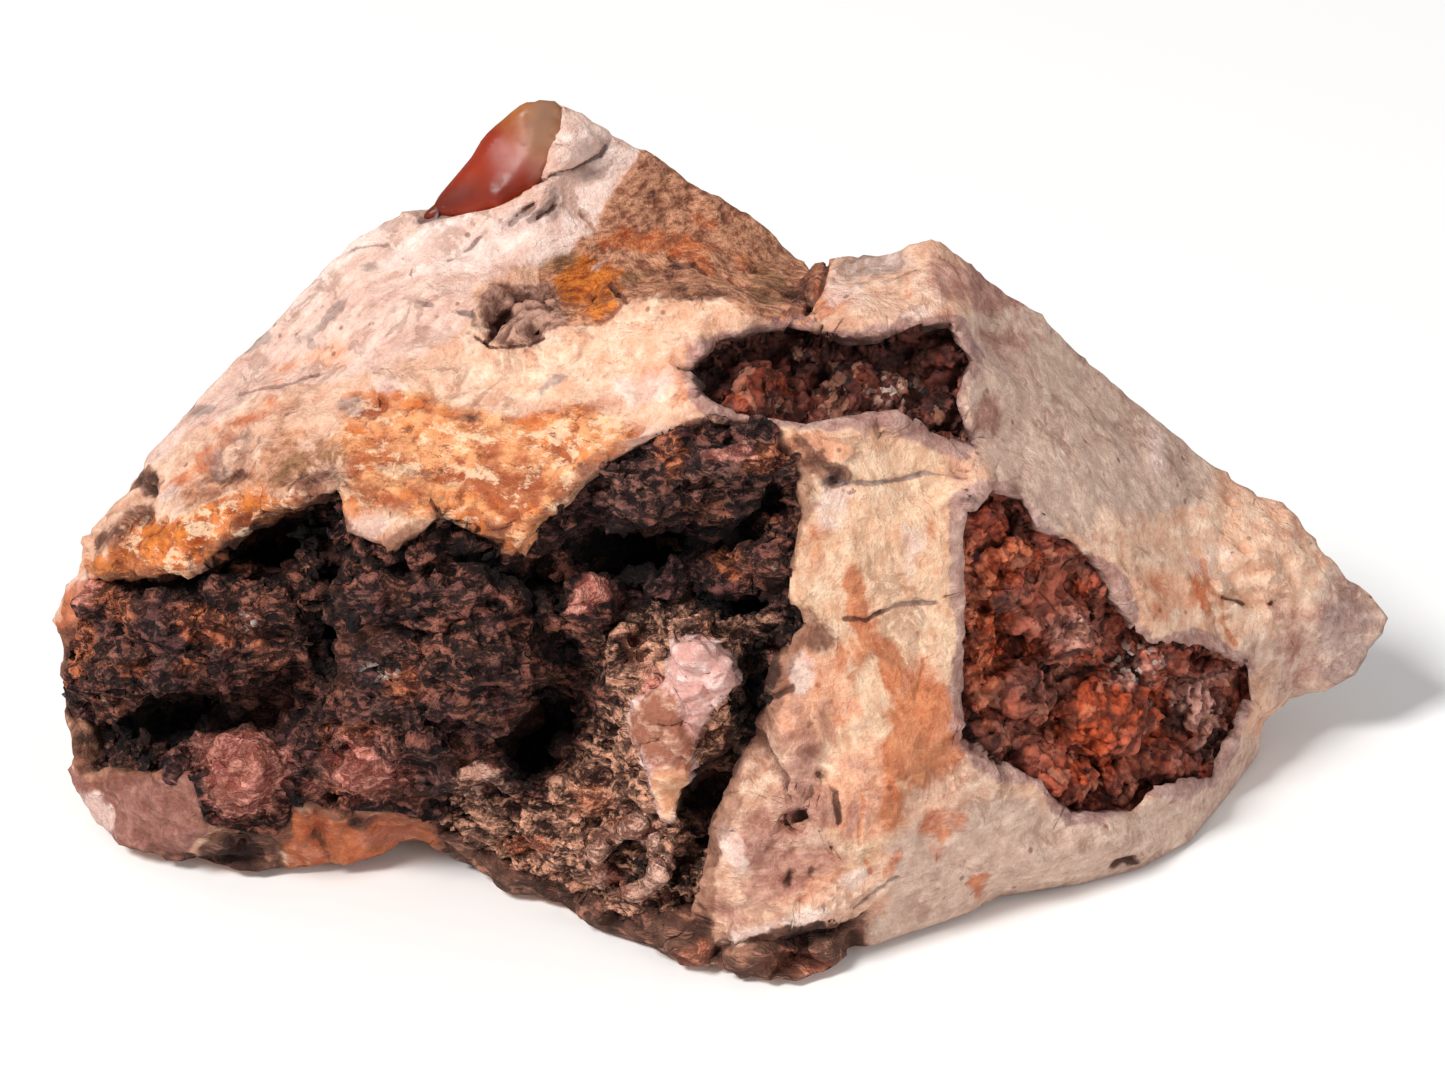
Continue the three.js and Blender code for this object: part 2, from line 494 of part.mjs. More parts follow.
const crustOutline = flat(BROWN_CRUST_OUTLINE);
const triangleOutline = flat(TRIANGLE_OUTLINE);
const upperOutline = flat(UPPER_OUTLINE);
const opalOutline = flat(OPAL_OUTLINE);

const onCrust = (point) => inside(crustOutline, looksAt(point));
const onOpal = (point) => inside(grow(opalOutline, 0.8), looksAt(point));

function longestEdge(point, side) {
  if (side < 0) return FACET_EDGE.back;
  return onCrust(point) ? FACET_EDGE.crust : FACET_EDGE.show;
}

// How far the rounded lumps stand out at a point.
function lumpHeight(list, point) {
  const heights = list.map(({ at, wide }) => {
    const away = point.distanceTo(new THREE.Vector2(...at)) / (wide / 2);
    return away < 1 ? (LUMP_HEIGHT * wide * Math.sqrt(1 - away * away)) / 2 : 0;
  });
  return Math.max(...heights);
}

// How far the surface stands out at a point. The base stays flat, and the opal smooth.
function roughness(point, side) {
  if (onOpal(point)) return 0;
  const fade = THREE.MathUtils.smoothstep(point.z, 0.2, 3);
  const bumps = (size, seed) => hills(point, size, seed) + hills(point, size / 2, seed) / 2;
  const swells = ({ height, size }, seed) => height * bumps(size, seed);
  const creases = ({ height, size }, seed) => height * lumps(point, size, seed);
  if (side < 0) return fade * (swells(STONE_GRAIN, 3) + swells(BACK_FACETS, 7) + creases(BACK_FACETS, 9) / 2);
  const raised = lumpHeight(STONE_LUMPS, looksAt(point));
  return fade * (raised + (onCrust(point) ? creases(CRUST_LUMPS, 11) : swells(STONE_GRAIN, 3)));
}

const whole = raise(refine(plain, longestEdge), roughness);
whole.points.forEach((point) => (point.z = Math.max(point.z, 0)));
const wholeSolid = solidOf(whole);

// ---------------------------------------------------------------- the crusts and the opal

// Everything in front of a floor that lies depth behind the plain face, within an outline.
const cutTo = (outline, depth) => sightPrism(outline).subtract(pushedBack(plainSolid, depth));

// How far inside an outline a point lies, up to a limit.
function inset(outline, point, limit) {
  if (!inside(outline, point)) return 0;
  const gaps = outline.map((a, n) => {
    const along = outline[(n + 1) % outline.length].clone().sub(a);
    const share = point.clone().sub(a).dot(along) / along.lengthSq();
    return point.distanceTo(a.clone().addScaledVector(along, THREE.MathUtils.clamp(share, 0, 1)));
  });
  return Math.min(limit, ...gaps);
}

// The knobbly crust that lines a hollow: it starts rim below the face and is deepest in the middle.
function hollowCrust(outline, { rim, bowl, depth }, list, seed) {
  const near = grow(outline, 1);
  const isNear = (point, side) => side > 0 && inside(near, looksAt(point));
  const fine = refine(plain, (point, side) => (isNear(point, side) ? FACET_EDGE.hollow : FACET_EDGE.hidden));
  const top = raise(fine, (point, side) => {
    if (side < 0) return 0;
    const seen = looksAt(point);
    const sink = rim + (bowl * inset(outline, seen, BOWL_SLOPE)) / BOWL_SLOPE - lumpHeight(list, seen);
    const knobs = HOLLOW_LUMPS.height * lumps(point, HOLLOW_LUMPS.size, seed);
    return -Math.max(THINNEST_SINK, sink - knobs);
  });
  return sightPrism(outline).intersect(solidOf(top)).subtract(pushedBack(plainSolid, depth));
}

const plainMesh = new THREE.Mesh(geometryOf(plainSolid));

// The point of the plain face seen at (across, up).
function faceAt([across, up]) {
  const direction = seenAt(across, up).sub(EYE).normalize();
  return new THREE.Raycaster(EYE, direction).intersectObject(plainMesh)[0].point;
}

// A rough ball, stretched to a hole's size and sunk into the face.
function holeBall({ at, wide, tall, turn: degrees }, seed) {
  const ball = new THREE.IcosahedronGeometry(1, 1);
  ball.deleteAttribute("normal");
  ball.deleteAttribute("uv");
  const shape = mergeVertices(ball);
  const deep = HOLE_DEPTH * Math.sqrt(wide * tall);
  const place = new THREE.Matrix4()
    .makeTranslation(faceAt(at))
    .multiply(new THREE.Matrix4().makeBasis(new THREE.Vector3(1, 0, 0), SIGHT_UP, SIGHT.clone().negate()))
    .multiply(new THREE.Matrix4().makeRotationZ(THREE.MathUtils.degToRad(degrees)))
    .multiply(new THREE.Matrix4().makeScale(wide / 2, tall / 2, deep));
  const position = shape.getAttribute("position");
  const points = Array.from({ length: position.count }, (_, n) => {
    const point = new THREE.Vector3().fromBufferAttribute(position, n);
    return point.multiplyScalar(1 + HOLE_ROUGHNESS * hills(point, 0.9, seed)).applyMatrix4(place);
  });
  const index = Array.from(shape.index.array);
  const faces = Array.from({ length: index.length / 3 }, (_, n) => index.slice(3 * n, 3 * n + 3));
  return solidOf({ points, faces });
}

// A cut piece without its loose crumbs, and without the slivers thinner than CLEAN_CUT that cutting leaves.
const largest = (solid) =>
  solid.simplify(CLEAN_CUT).decompose().sort((a, b) => b.volume() - a.volume())[0];

// A crust keeps a wall of stone behind it, so that it nowhere breaks through the far side.
const backed = (solid, wall) => solid.intersect(pushedBack(plainSolid, -wall));
const bed = (outline, depth) => backed(cutTo(grow(outline, SEAT_GAP), depth + SEAT_GAP), BACK_WALL);
const crust = (solid) => largest(backed(solid, BACK_WALL + SEAT_GAP));

const crustWithoutHoles = crust(wholeSolid.intersect(cutTo(crustOutline, CRUST_THICKNESS)));
const crustBed = bed(crustOutline, CRUST_THICKNESS);
const holes = HOLES.map(holeBall);
const brownCrust = largest(wasm.Manifold.difference([crustWithoutHoles, ...holes]));

const opal = largest(wholeSolid.intersect(cutTo(opalOutline, OPAL_THICKNESS)));
const opalBed = cutTo(grow(opalOutline, SEAT_GAP), OPAL_THICKNESS + SEAT_GAP);

const triangleCrust = crust(hollowCrust(triangleOutline, TRIANGLE_HOLLOW, TRIANGLE_LUMPS, 21));
const triangleBed = bed(triangleOutline, TRIANGLE_HOLLOW.depth);
const upperCrust = crust(hollowCrust(upperOutline, UPPER_HOLLOW, UPPER_LUMPS, 31));
const upperBed = bed(upperOutline, UPPER_HOLLOW.depth);

const beds = [crustBed, opalBed, triangleBed, upperBed];
const matrix = largest(wasm.Manifold.difference([wholeSolid, ...beds, ...holes]));

// ---------------------------------------------------------------- the named pieces

function piece(name, solid, color, roughnessValue) {
  const material = new THREE.MeshStandardMaterial({ color, roughness: roughnessValue, metalness: 0 });
  const mesh = new THREE.Mesh(geometryOf(solid), material);
  mesh.name = name;
  return mesh;
}

const stone = new THREE.Group();
stone.name = "fire_opal_specimen";
stone.add(
  piece("rhyolite_matrix", matrix, 0xd8b39e, 0.85),
  piece("fire_opal", opal, 0x8f3f1d, 0.12),
  piece("brown_crust", brownCrust, 0x55362f, 0.9),
  piece("triangle_hollow_crust", triangleCrust, 0x8a4730, 0.8),
  piece("upper_hollow_crust", upperCrust, 0x66382c, 0.8),
);

export default stone;
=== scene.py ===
"""The looks of a rough fire opal: pale rhyolite, a glassy opal seam, a brown crust and two lined hollows.

The solids of the frame give the forms. Each one is copied, cut finer where it shows, worked over with
grain, knobs, cracks and pits, and painted by masks that its material mixes. Lengths are millimetres until
a mesh is made.

A place on the show side is given as it looks from the camera: (across, up) on the plane through the
stone's middle.
"""

import math

import bpy
import numpy as np
from mathutils import Matrix, Vector
from mathutils.bvhtree import BVHTree


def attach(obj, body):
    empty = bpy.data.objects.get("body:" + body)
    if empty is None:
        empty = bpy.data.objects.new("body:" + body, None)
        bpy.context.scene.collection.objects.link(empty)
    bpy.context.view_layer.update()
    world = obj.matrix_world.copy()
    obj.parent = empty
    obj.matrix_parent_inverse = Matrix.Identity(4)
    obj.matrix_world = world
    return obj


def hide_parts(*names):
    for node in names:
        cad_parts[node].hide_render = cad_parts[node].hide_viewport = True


MM = 0.001

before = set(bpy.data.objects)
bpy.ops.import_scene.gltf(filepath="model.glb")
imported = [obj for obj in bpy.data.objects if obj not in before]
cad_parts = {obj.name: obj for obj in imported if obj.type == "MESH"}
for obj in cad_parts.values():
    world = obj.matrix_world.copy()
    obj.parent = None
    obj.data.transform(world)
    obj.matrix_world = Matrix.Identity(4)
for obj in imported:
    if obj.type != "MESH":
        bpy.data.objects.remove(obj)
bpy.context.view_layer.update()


# ---------------------------------------------------------------- the eye

LOOK_DOWN = math.radians(28)
EYE_DISTANCE = 270.0
MIDDLE = np.array([0.0, 0.0, 16.0])  # what the eye looks at
FRAME_WIDTH = 72.25  # of the picture, on the plane through the stone's middle
FRAME_CENTRE = (0.125, -0.1)  # (across, up) of the picture's centre

SIGHT = np.array([0.0, math.cos(LOOK_DOWN), -math.sin(LOOK_DOWN)])
RIGHT = np.array([1.0, 0.0, 0.0])
SIGHT_UP = np.cross(RIGHT, SIGHT)
EYE = MIDDLE - EYE_DISTANCE * SIGHT


def looks_at(points):
    """Where points look to be: their across and up, in two columns."""
    away = points - EYE
    scale = EYE_DISTANCE / (away @ SIGHT)
    return np.stack([away @ RIGHT * scale, away @ SIGHT_UP * scale], axis=1)


# ---------------------------------------------------------------- numbers that vary over space

DICE_SIDES = 2**32
AXIS_PRIMES = (374761393, 668265263, 1440662683)
SEED_PRIME = 974634777
STIRS = ((13, 1274126177), (15, 2246822519))  # (bits to shift by, prime)
LAST_SHIFT = 16
LEVEL_SEED = 81
LEVEL_SCALE = np.array([0.6, 0.8, 1.2])


def smoothstep(value, low, high):
    """0 at low, 1 at high, level beyond them and a soft rise or fall between them."""
    share = np.clip((value - low) / (high - low), 0.0, 1.0)
    return share * share * (3.0 - 2.0 * share)


def dice(cell, seed):
    """A fixed random number from 0 to 1 for each whole-numbered point."""
    cell = cell.astype(np.int64).astype(np.uint32)
    h = np.full(len(cell), seed * SEED_PRIME % DICE_SIDES, np.uint32)
    for column, prime in zip(cell.T, AXIS_PRIMES):
        h ^= column * np.uint32(prime)
    for shift, prime in STIRS:
        h = (h ^ (h >> np.uint32(shift))) * np.uint32(prime)
    return (h ^ (h >> np.uint32(LAST_SHIFT))) / float(DICE_SIDES)


def dice_of(cell, seeds):
    """A random number in each column for each of some seeds."""
    return np.stack([dice(cell, seed) for seed in seeds], axis=1)


def hills(points, size, seed):
    """Smooth noise from -1 to 1 with hills about size across."""
    cell = np.floor(points / size)
    shares = smoothstep(points / size - cell, 0, 1).T
    total = np.zeros(len(points))
    for corner in np.ndindex(2, 2, 2):
        weight = np.ones(len(points))
        for share, side in zip(shares, corner):
            weight *= share if side else 1 - share
        total += weight * dice(cell + corner, seed)
    return 2 * total - 1


def grain(points, size, seed, octaves=3):
    """Hills on hills, each octave half as wide and half as high, from about -1 to 1."""
    return sum(hills(points, size / 2**n, seed + n) / 2**n for n in range(octaves)) / 1.5


def ridges(points, size, seed, octaves=2):
    """Crisp ridges with rounded hollows between them, in octaves like those of grain, from 0 to 1."""
    heights = [(1 - np.abs(hills(points, size / 2**n, seed + n))) ** 2 / 2**n for n in range(octaves)]
    return sum(heights) / (2 - 2 / 2**octaves)


def cell_middle(cell, seed):
    """The point strewn in each cell."""
    return cell + dice_of(cell, (seed + 1, seed + 2, seed + 3))


def cells(points, size, seed):
    """Distances to the nearest and second nearest of points strewn size apart, and the nearest's cell."""
    scaled = points / size
    home = np.floor(scaled)
    first = np.full(len(points), np.inf)
    second = np.full(len(points), np.inf)
    nearest = home.copy()
    for step in np.ndindex(3, 3, 3):
        cell = home + step - 1
        gap = np.linalg.norm(cell_middle(cell, seed) - scaled, axis=1)
        nearer = gap < first
        second = np.where(nearer, first, np.minimum(second, gap))
        first = np.where(nearer, gap, first)
        nearest[nearer] = cell[nearer]
    return first, second, nearest


def crumpled(points, size, seed):
    """Points shifted unevenly, so that cells made from them aren't so round and even."""
    seeds = (seed + 91, seed + 92, seed + 93)
    shift = [hills(points, 1.3 * size, s) + 0.5 * hills(points, 0.5 * size, s) for s in seeds]
    return points + 0.4 * size * np.stack(shift, axis=1)


def knobs(points, size, seed):
    """Uneven knobs size apart with sharp creases between them: about 1 on top and 0 in a crease."""
    first, second, _ = cells(crumpled(points, size, seed), size, seed)
    return np.sqrt(np.clip(second - first, 0, 1)) * (1.2 - 0.6 * first)


def knob_dice(points, size, seed):
    """A random number from 0 to 1 for each knob of knobs(points, size, seed)."""
    return dice(cells(crumpled(points, size, seed), size, seed)[2], seed + 4)


def chips(points, size, seed):
    """Flat chips size across, each tilted its own way, from about -1 to 1."""
    points = crumpled(points, size, seed)
    nearest = cells(points, size, seed)[2]
    tilt = dice_of(nearest, (seed + 5, seed + 6, seed + 7)) - 0.5
    return 3 * ((points / size - cell_middle(nearest, seed)) * tilt).sum(axis=1)


def pores(points, size, seed, share, width=0.32):
    """Small round pits: 1 in a pit's middle. Only a share of the places that are size apart has one."""
    first, _, nearest = cells(points, size, seed)
    return (1 - smoothstep(first, 0.3 * width, width)) * (dice(nearest, seed + 4) < share)


def levelled(points):
    """Points shifted unevenly and scaled, so that noise made from them runs level along the stone."""
    return crumpled(points, 1.2, LEVEL_SEED) * LEVEL_SCALE


def squeezed(points, along, share):
    """Points with one direction shortened, so that noise made from them runs that way."""
    unit = along / np.linalg.norm(along)
    return points - (1 - share) * (points @ unit)[:, None] * unit


# ---------------------------------------------------------------- places on the show side


def off_segment(places, a, b):
    """How far each place is from the line between two corners."""
    along = b - a
    share = np.clip((places - a) @ along / (along @ along), 0, 1)
    return np.linalg.norm(places - a - share[:, None] * along, axis=1)


def in_outline(places, outline):
    """How far inside an outline each place lies, or minus how far outside."""
    corners = np.array(outline, float)
    nearest = np.full(len(places), np.inf)
    within = np.zeros(len(places), bool)
    for a, b in zip(corners, np.roll(corners, -1, axis=0)):
        nearest = np.minimum(nearest, off_segment(places, a, b))
        if a[1] != b[1]:
            spans = (a[1] > places[:, 1]) != (b[1] > places[:, 1])
            crossing = a[0] + (b[0] - a[0]) * (places[:, 1] - a[1]) / (b[1] - a[1])
            within ^= spans & (places[:, 0] < crossing)
    return np.where(within, nearest, -nearest)


def region(places, outline, soft=0.6):
    """1 inside an outline and 0 outside, with a soft edge."""
    return smoothstep(in_outline(places, outline), -soft, soft)


def spots(places, ovals):
    """The strongest of some soft ovals at each place."""
    best = np.zeros(len(places))
    for across, up, wide, tall, turn, strength in ovals:
        c, s = math.cos(math.radians(turn)), math.sin(math.radians(turn))
        x, y = places[:, 0] - across, places[:, 1] - up
        away = np.hypot((x * c + y * s) / wide, (y * c - x * s) / tall)
        best = np.maximum(best, strength * (1 - smoothstep(away, 0.2, 1.8)))
    return best


def lines(places, strokes):
    """How near each place is to some crooked lines: 1 on a line, and 0 from its width on."""
    best = np.zeros(len(places))
    for width, path in strokes:
        corners = np.array(path, float)
        nearest = np.min([off_segment(places, a, b) for a, b in zip(corners, corners[1:])], axis=0)
        best = np.maximum(best, 1 - smoothstep(nearest, 0.2 * width, width))
    return best


def most(*masks):
    """The highest of some masks at each place."""
    return np.maximum.reduce(masks)


# ---------------------------------------------------------------- working a surface

BASE_EDGE = (0.05, 1.2)  # heights that the flat base ends at, and that the work is at its full from
FACING = (-0.35, 0.0)  # how far a point faces the camera where it counts as unseen, and as seen
SMOOTH, INFLATE = 0.5, -0.52  # the two strengths of a round of relaxing
LINE_ROUNDS = 3


class Skin:
    """A surface while it is worked: points in millimetres and triangles, with three shares for each point.

    shown is 1 where the surface can be seen at all, seen is 1 where it faces the camera, and open is low in
    holes and cracks.
    """

    def __init__(self, points, faces, shown):
        self.points, self.faces, self.shown = points, faces, shown
        self.seen = np.ones(len(points))
        self.open = np.ones(len(points))

    def normals(self):
        """The way out of the surface at each point."""
        a, b, c = (self.points[self.faces[:, n]] for n in range(3))
        face_normals = np.cross(b - a, c - a)
        total = np.zeros_like(self.points)
        for n in range(3):
            for axis in range(3):
                total[:, axis] += np.bincount(self.faces[:, n], face_normals[:, axis], len(self.points))
        return unit_rows(total)

    def edges(self):
        """Each edge once, and the number of the edge from each corner of each triangle to the next."""
        ends = np.concatenate([self.faces[:, [0, 1]], self.faces[:, [1, 2]], self.faces[:, [2, 0]]])
        ends = np.sort(ends, axis=1)
        keys, index = np.unique(ends[:, 0] * len(self.points) + ends[:, 1], return_inverse=True)
        return np.stack(np.divmod(keys, len(self.points)), axis=1), index.reshape(3, -1).T

    def split(self, longest):
        """Splits each edge that shows and is longer than its ends allow. Returns how many it split."""
        ends, of_face = self.edges()
        a, b = self.points[ends[:, 0]], self.points[ends[:, 1]]
        shown, seen = self.shown[ends], self.seen[ends]
        long = (shown.max(axis=1) > 0) & (np.linalg.norm(a - b, axis=1) > longest[ends].min(axis=1))
        middle = np.where(long, len(self.points) + np.cumsum(long) - 1, -1)
        self.points = np.concatenate([self.points, ((a + b) / 2)[long]])
        self.shown = np.concatenate([self.shown, shown.min(axis=1)[long]])
        self.seen = np.concatenate([self.seen, seen.mean(axis=1)[long]])
        self.open = np.concatenate([self.open, self.open[ends].mean(axis=1)[long]])
        cuts = middle[of_face]
        count = (cuts >= 0).sum(axis=1)
        done = [self.faces[count == 0]]
        for shift in range(3):
            p, q, r = np.roll(self.faces, -shift, axis=1).T
            pq, qr, rp = np.roll(cuts, -shift, axis=1).T
            one = (count == 1) & (pq >= 0)
            done += [np.stack(t, axis=1)[one] for t in ((p, pq, r), (pq, q, r))]
            two = (count == 2) & (pq >= 0) & (qr >= 0)
            done += [np.stack(t, axis=1)[two] for t in ((p, pq, r), (pq, q, qr), (pq, qr, r))]
            if shift == 0:
                three = count == 3
                fans = ((p, pq, rp), (pq, q, qr), (rp, qr, r), (pq, qr, rp))
                done += [np.stack(t, axis=1)[three] for t in fans]
        self.faces = np.concatenate(done)
        return int(long.sum())

    def refine(self, fine, coarse=None):
        """Splits edges until none is longer than fine where the camera sees it, or coarse elsewhere."""
        coarse = fine if coarse is None else coarse
        while self.split(coarse + (fine - coarse) * self.seen):
            pass

    def refine_along(self, strokes, fine):
        """Splits edges near some lines, in a few rounds, down to about fine."""
        wider = [(width + fine / 2, path) for width, path in strokes]
        for _ in range(LINE_ROUNDS):
            near = self.seen * lines(looks_at(self.points), wider) > 0
            self.split(np.where(near, fine, np.inf))

    def mark_seen(self):
        """Finds how far each point faces the camera."""
        self.seen = smoothstep(-(self.normals() @ SIGHT), *FACING)

    def relax(self, rounds):
        """Rounds off the facets where the surface shows, and keeps its size. The flat base stays flat."""
        ends, _ = self.edges()
        count = np.maximum(np.bincount(ends.ravel(), minlength=len(self.points)), 1)
        for strength in [SMOOTH, INFLATE] * rounds:
            total = np.zeros_like(self.points)
            for here, there in (ends.T, ends.T[::-1]):
                for axis in range(3):
                    total[:, axis] += np.bincount(here, self.points[there, axis], len(self.points))
            step = total / count[:, None] - self.points
            self.points = self.points + step * (strength * self.workable())[:, None]

    def push(self, distance):
        """Moves each point out along the surface's normal. The flat base stays flat."""
        self.points = self.points + self.normals() * (distance * self.workable())[:, None]

    def workable(self):
        """How far each point may move: not at all where it is hidden or on the base."""
        return self.shown * smoothstep(self.points[:, 2], *BASE_EDGE)


def unit_rows(rows):
    return rows / np.maximum(np.linalg.norm(rows, axis=1), 1e-12)[:, None]


def node_mesh(name):
    """A frame solid's points in millimetres, each once, and its triangles."""
    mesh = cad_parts[name].data
    mesh.calc_loop_triangles()
    points = np.zeros(len(mesh.vertices) * 3)
    mesh.vertices.foreach_get("co", points)
    faces = np.zeros(len(mesh.loop_triangles) * 3, np.int64)
    mesh.loop_triangles.foreach_get("vertices", faces)
    points, index = np.unique(np.round(points.reshape(-1, 3) / MM, 4), axis=0, return_inverse=True)
    faces = index.reshape(-1)[faces].reshape(-1, 3)
    distinct = (faces != np.roll(faces, 1, axis=1)).all(axis=1)
    return points, faces[distinct]


def tree_of(meshes):
    """A search tree over several (points, faces)."""
    starts = np.cumsum([0] + [len(points) for points, _ in meshes[:-1]])
    points = np.concatenate([points for points, _ in meshes])
    faces = np.concatenate([faces + start for (_, faces), start in zip(meshes, starts)])
    return BVHTree.FromPolygons(points.tolist(), faces.tolist())


SOLIDS = {name: node_mesh(name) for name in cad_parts}
BED_GAP = 0.3  # between a piece and the stone that it sits in
BED_FILL = 0.45  # how far a piece is thickened where it sits in the stone, to leave no slit


def skin_of(name, fill=BED_FILL):
    """The surface of a frame solid. Where it faces its bed it is hidden, and moves out by fill."""
    points, faces = SOLIDS[name]
    others = tree_of([mesh for other, mesh in SOLIDS.items() if other != name])
    a, b, c = (points[faces[:, n]] for n in range(3))
    rays = zip((a + b + c) / 3, unit_rows(np.cross(b - a, c - a)))
    reach = 3 * BED_GAP
    hidden = np.array([others.ray_cast(Vector(m), Vector(n), reach)[0] is not None for m, n in rays])
    shown = np.zeros(len(points))
    shown[faces[~hidden].ravel()] = 1
    skin = Skin(points, faces, shown)
    if fill:
        bed_side = Skin(points, faces[hidden], shown)
        skin.points = points + fill * bed_side.normals()
    return skin


# ---------------------------------------------------------------- finished pieces

RAY_SEED = 5
RAY_BUNDLE = 64  # how many directions the rays take turns at
RAYS = 16  # from each point
RAY_REACH = 8.0
RAY_LIFT = 0.05  # how far off the surface a ray starts
RAY_LEAN = 1.05  # how strongly rays lean along the surface's normal


def mark_open(skin, tree):
    """Finds for each point that shows the share of rays out of it that get away."""
    bundle = unit_rows(np.random.default_rng(RAY_SEED).normal(size=(RAY_BUNDLE, 3)))
    normals = skin.normals()
    starts = skin.points + RAY_LIFT * normals
    for n in np.flatnonzero(skin.shown > 0):
        towards = bundle[(np.arange(RAYS) * 3 + n) % RAY_BUNDLE] + RAY_LEAN * normals[n]
        start = Vector(starts[n])
        free = sum(tree.ray_cast(start, Vector(ray), RAY_REACH)[0] is None for ray in towards)
        skin.open[n] = free / RAYS
    ends, _ = skin.edges()
    count = np.bincount(ends.ravel(), minlength=len(skin.open)) + 1
    total = skin.open + np.bincount(ends[:, 0], skin.open[ends[:, 1]], len(skin.open))
    total += np.bincount(ends[:, 1], skin.open[ends[:, 0]], len(skin.open))
    skin.open = total / count


def finish_piece(node, skin, masks, material):
    """Makes the object, with each mask as an attribute, in place of a frame solid."""
    name = f"{node}_skin"
    mesh = bpy.data.meshes.new(name)
    mesh.from_pydata((skin.points * MM).tolist(), [], skin.faces.tolist())
    for key, values in {**masks, "open": skin.open}.items():
        attribute = mesh.attributes.new(key, "FLOAT", "POINT")
        attribute.data.foreach_set("value", values.astype(np.float32))
    mesh.polygons.foreach_set("use_smooth", [True] * len(mesh.polygons))
    mesh.materials.append(material)
    mesh.update()
    piece = bpy.data.objects.new(name, mesh)
    bpy.context.scene.collection.objects.link(piece)
    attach(piece, "root")
    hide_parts(node)


# ---------------------------------------------------------------- materials

LAYER_RAGGED = 2.0  # how strongly noise breaks up a layer's edge
LAYER_SOFT = 0.2  # how soft that edge is


def shade(*screen):
    """Red, green and blue from 0 to 255 as they look on a screen, made linear for a shader."""
    channels = [((c / 255 + 0.055) / 1.055) ** 2.4 if c > 10 else c / 255 / 12.92 for c in screen]
    return (*channels, 1.0)


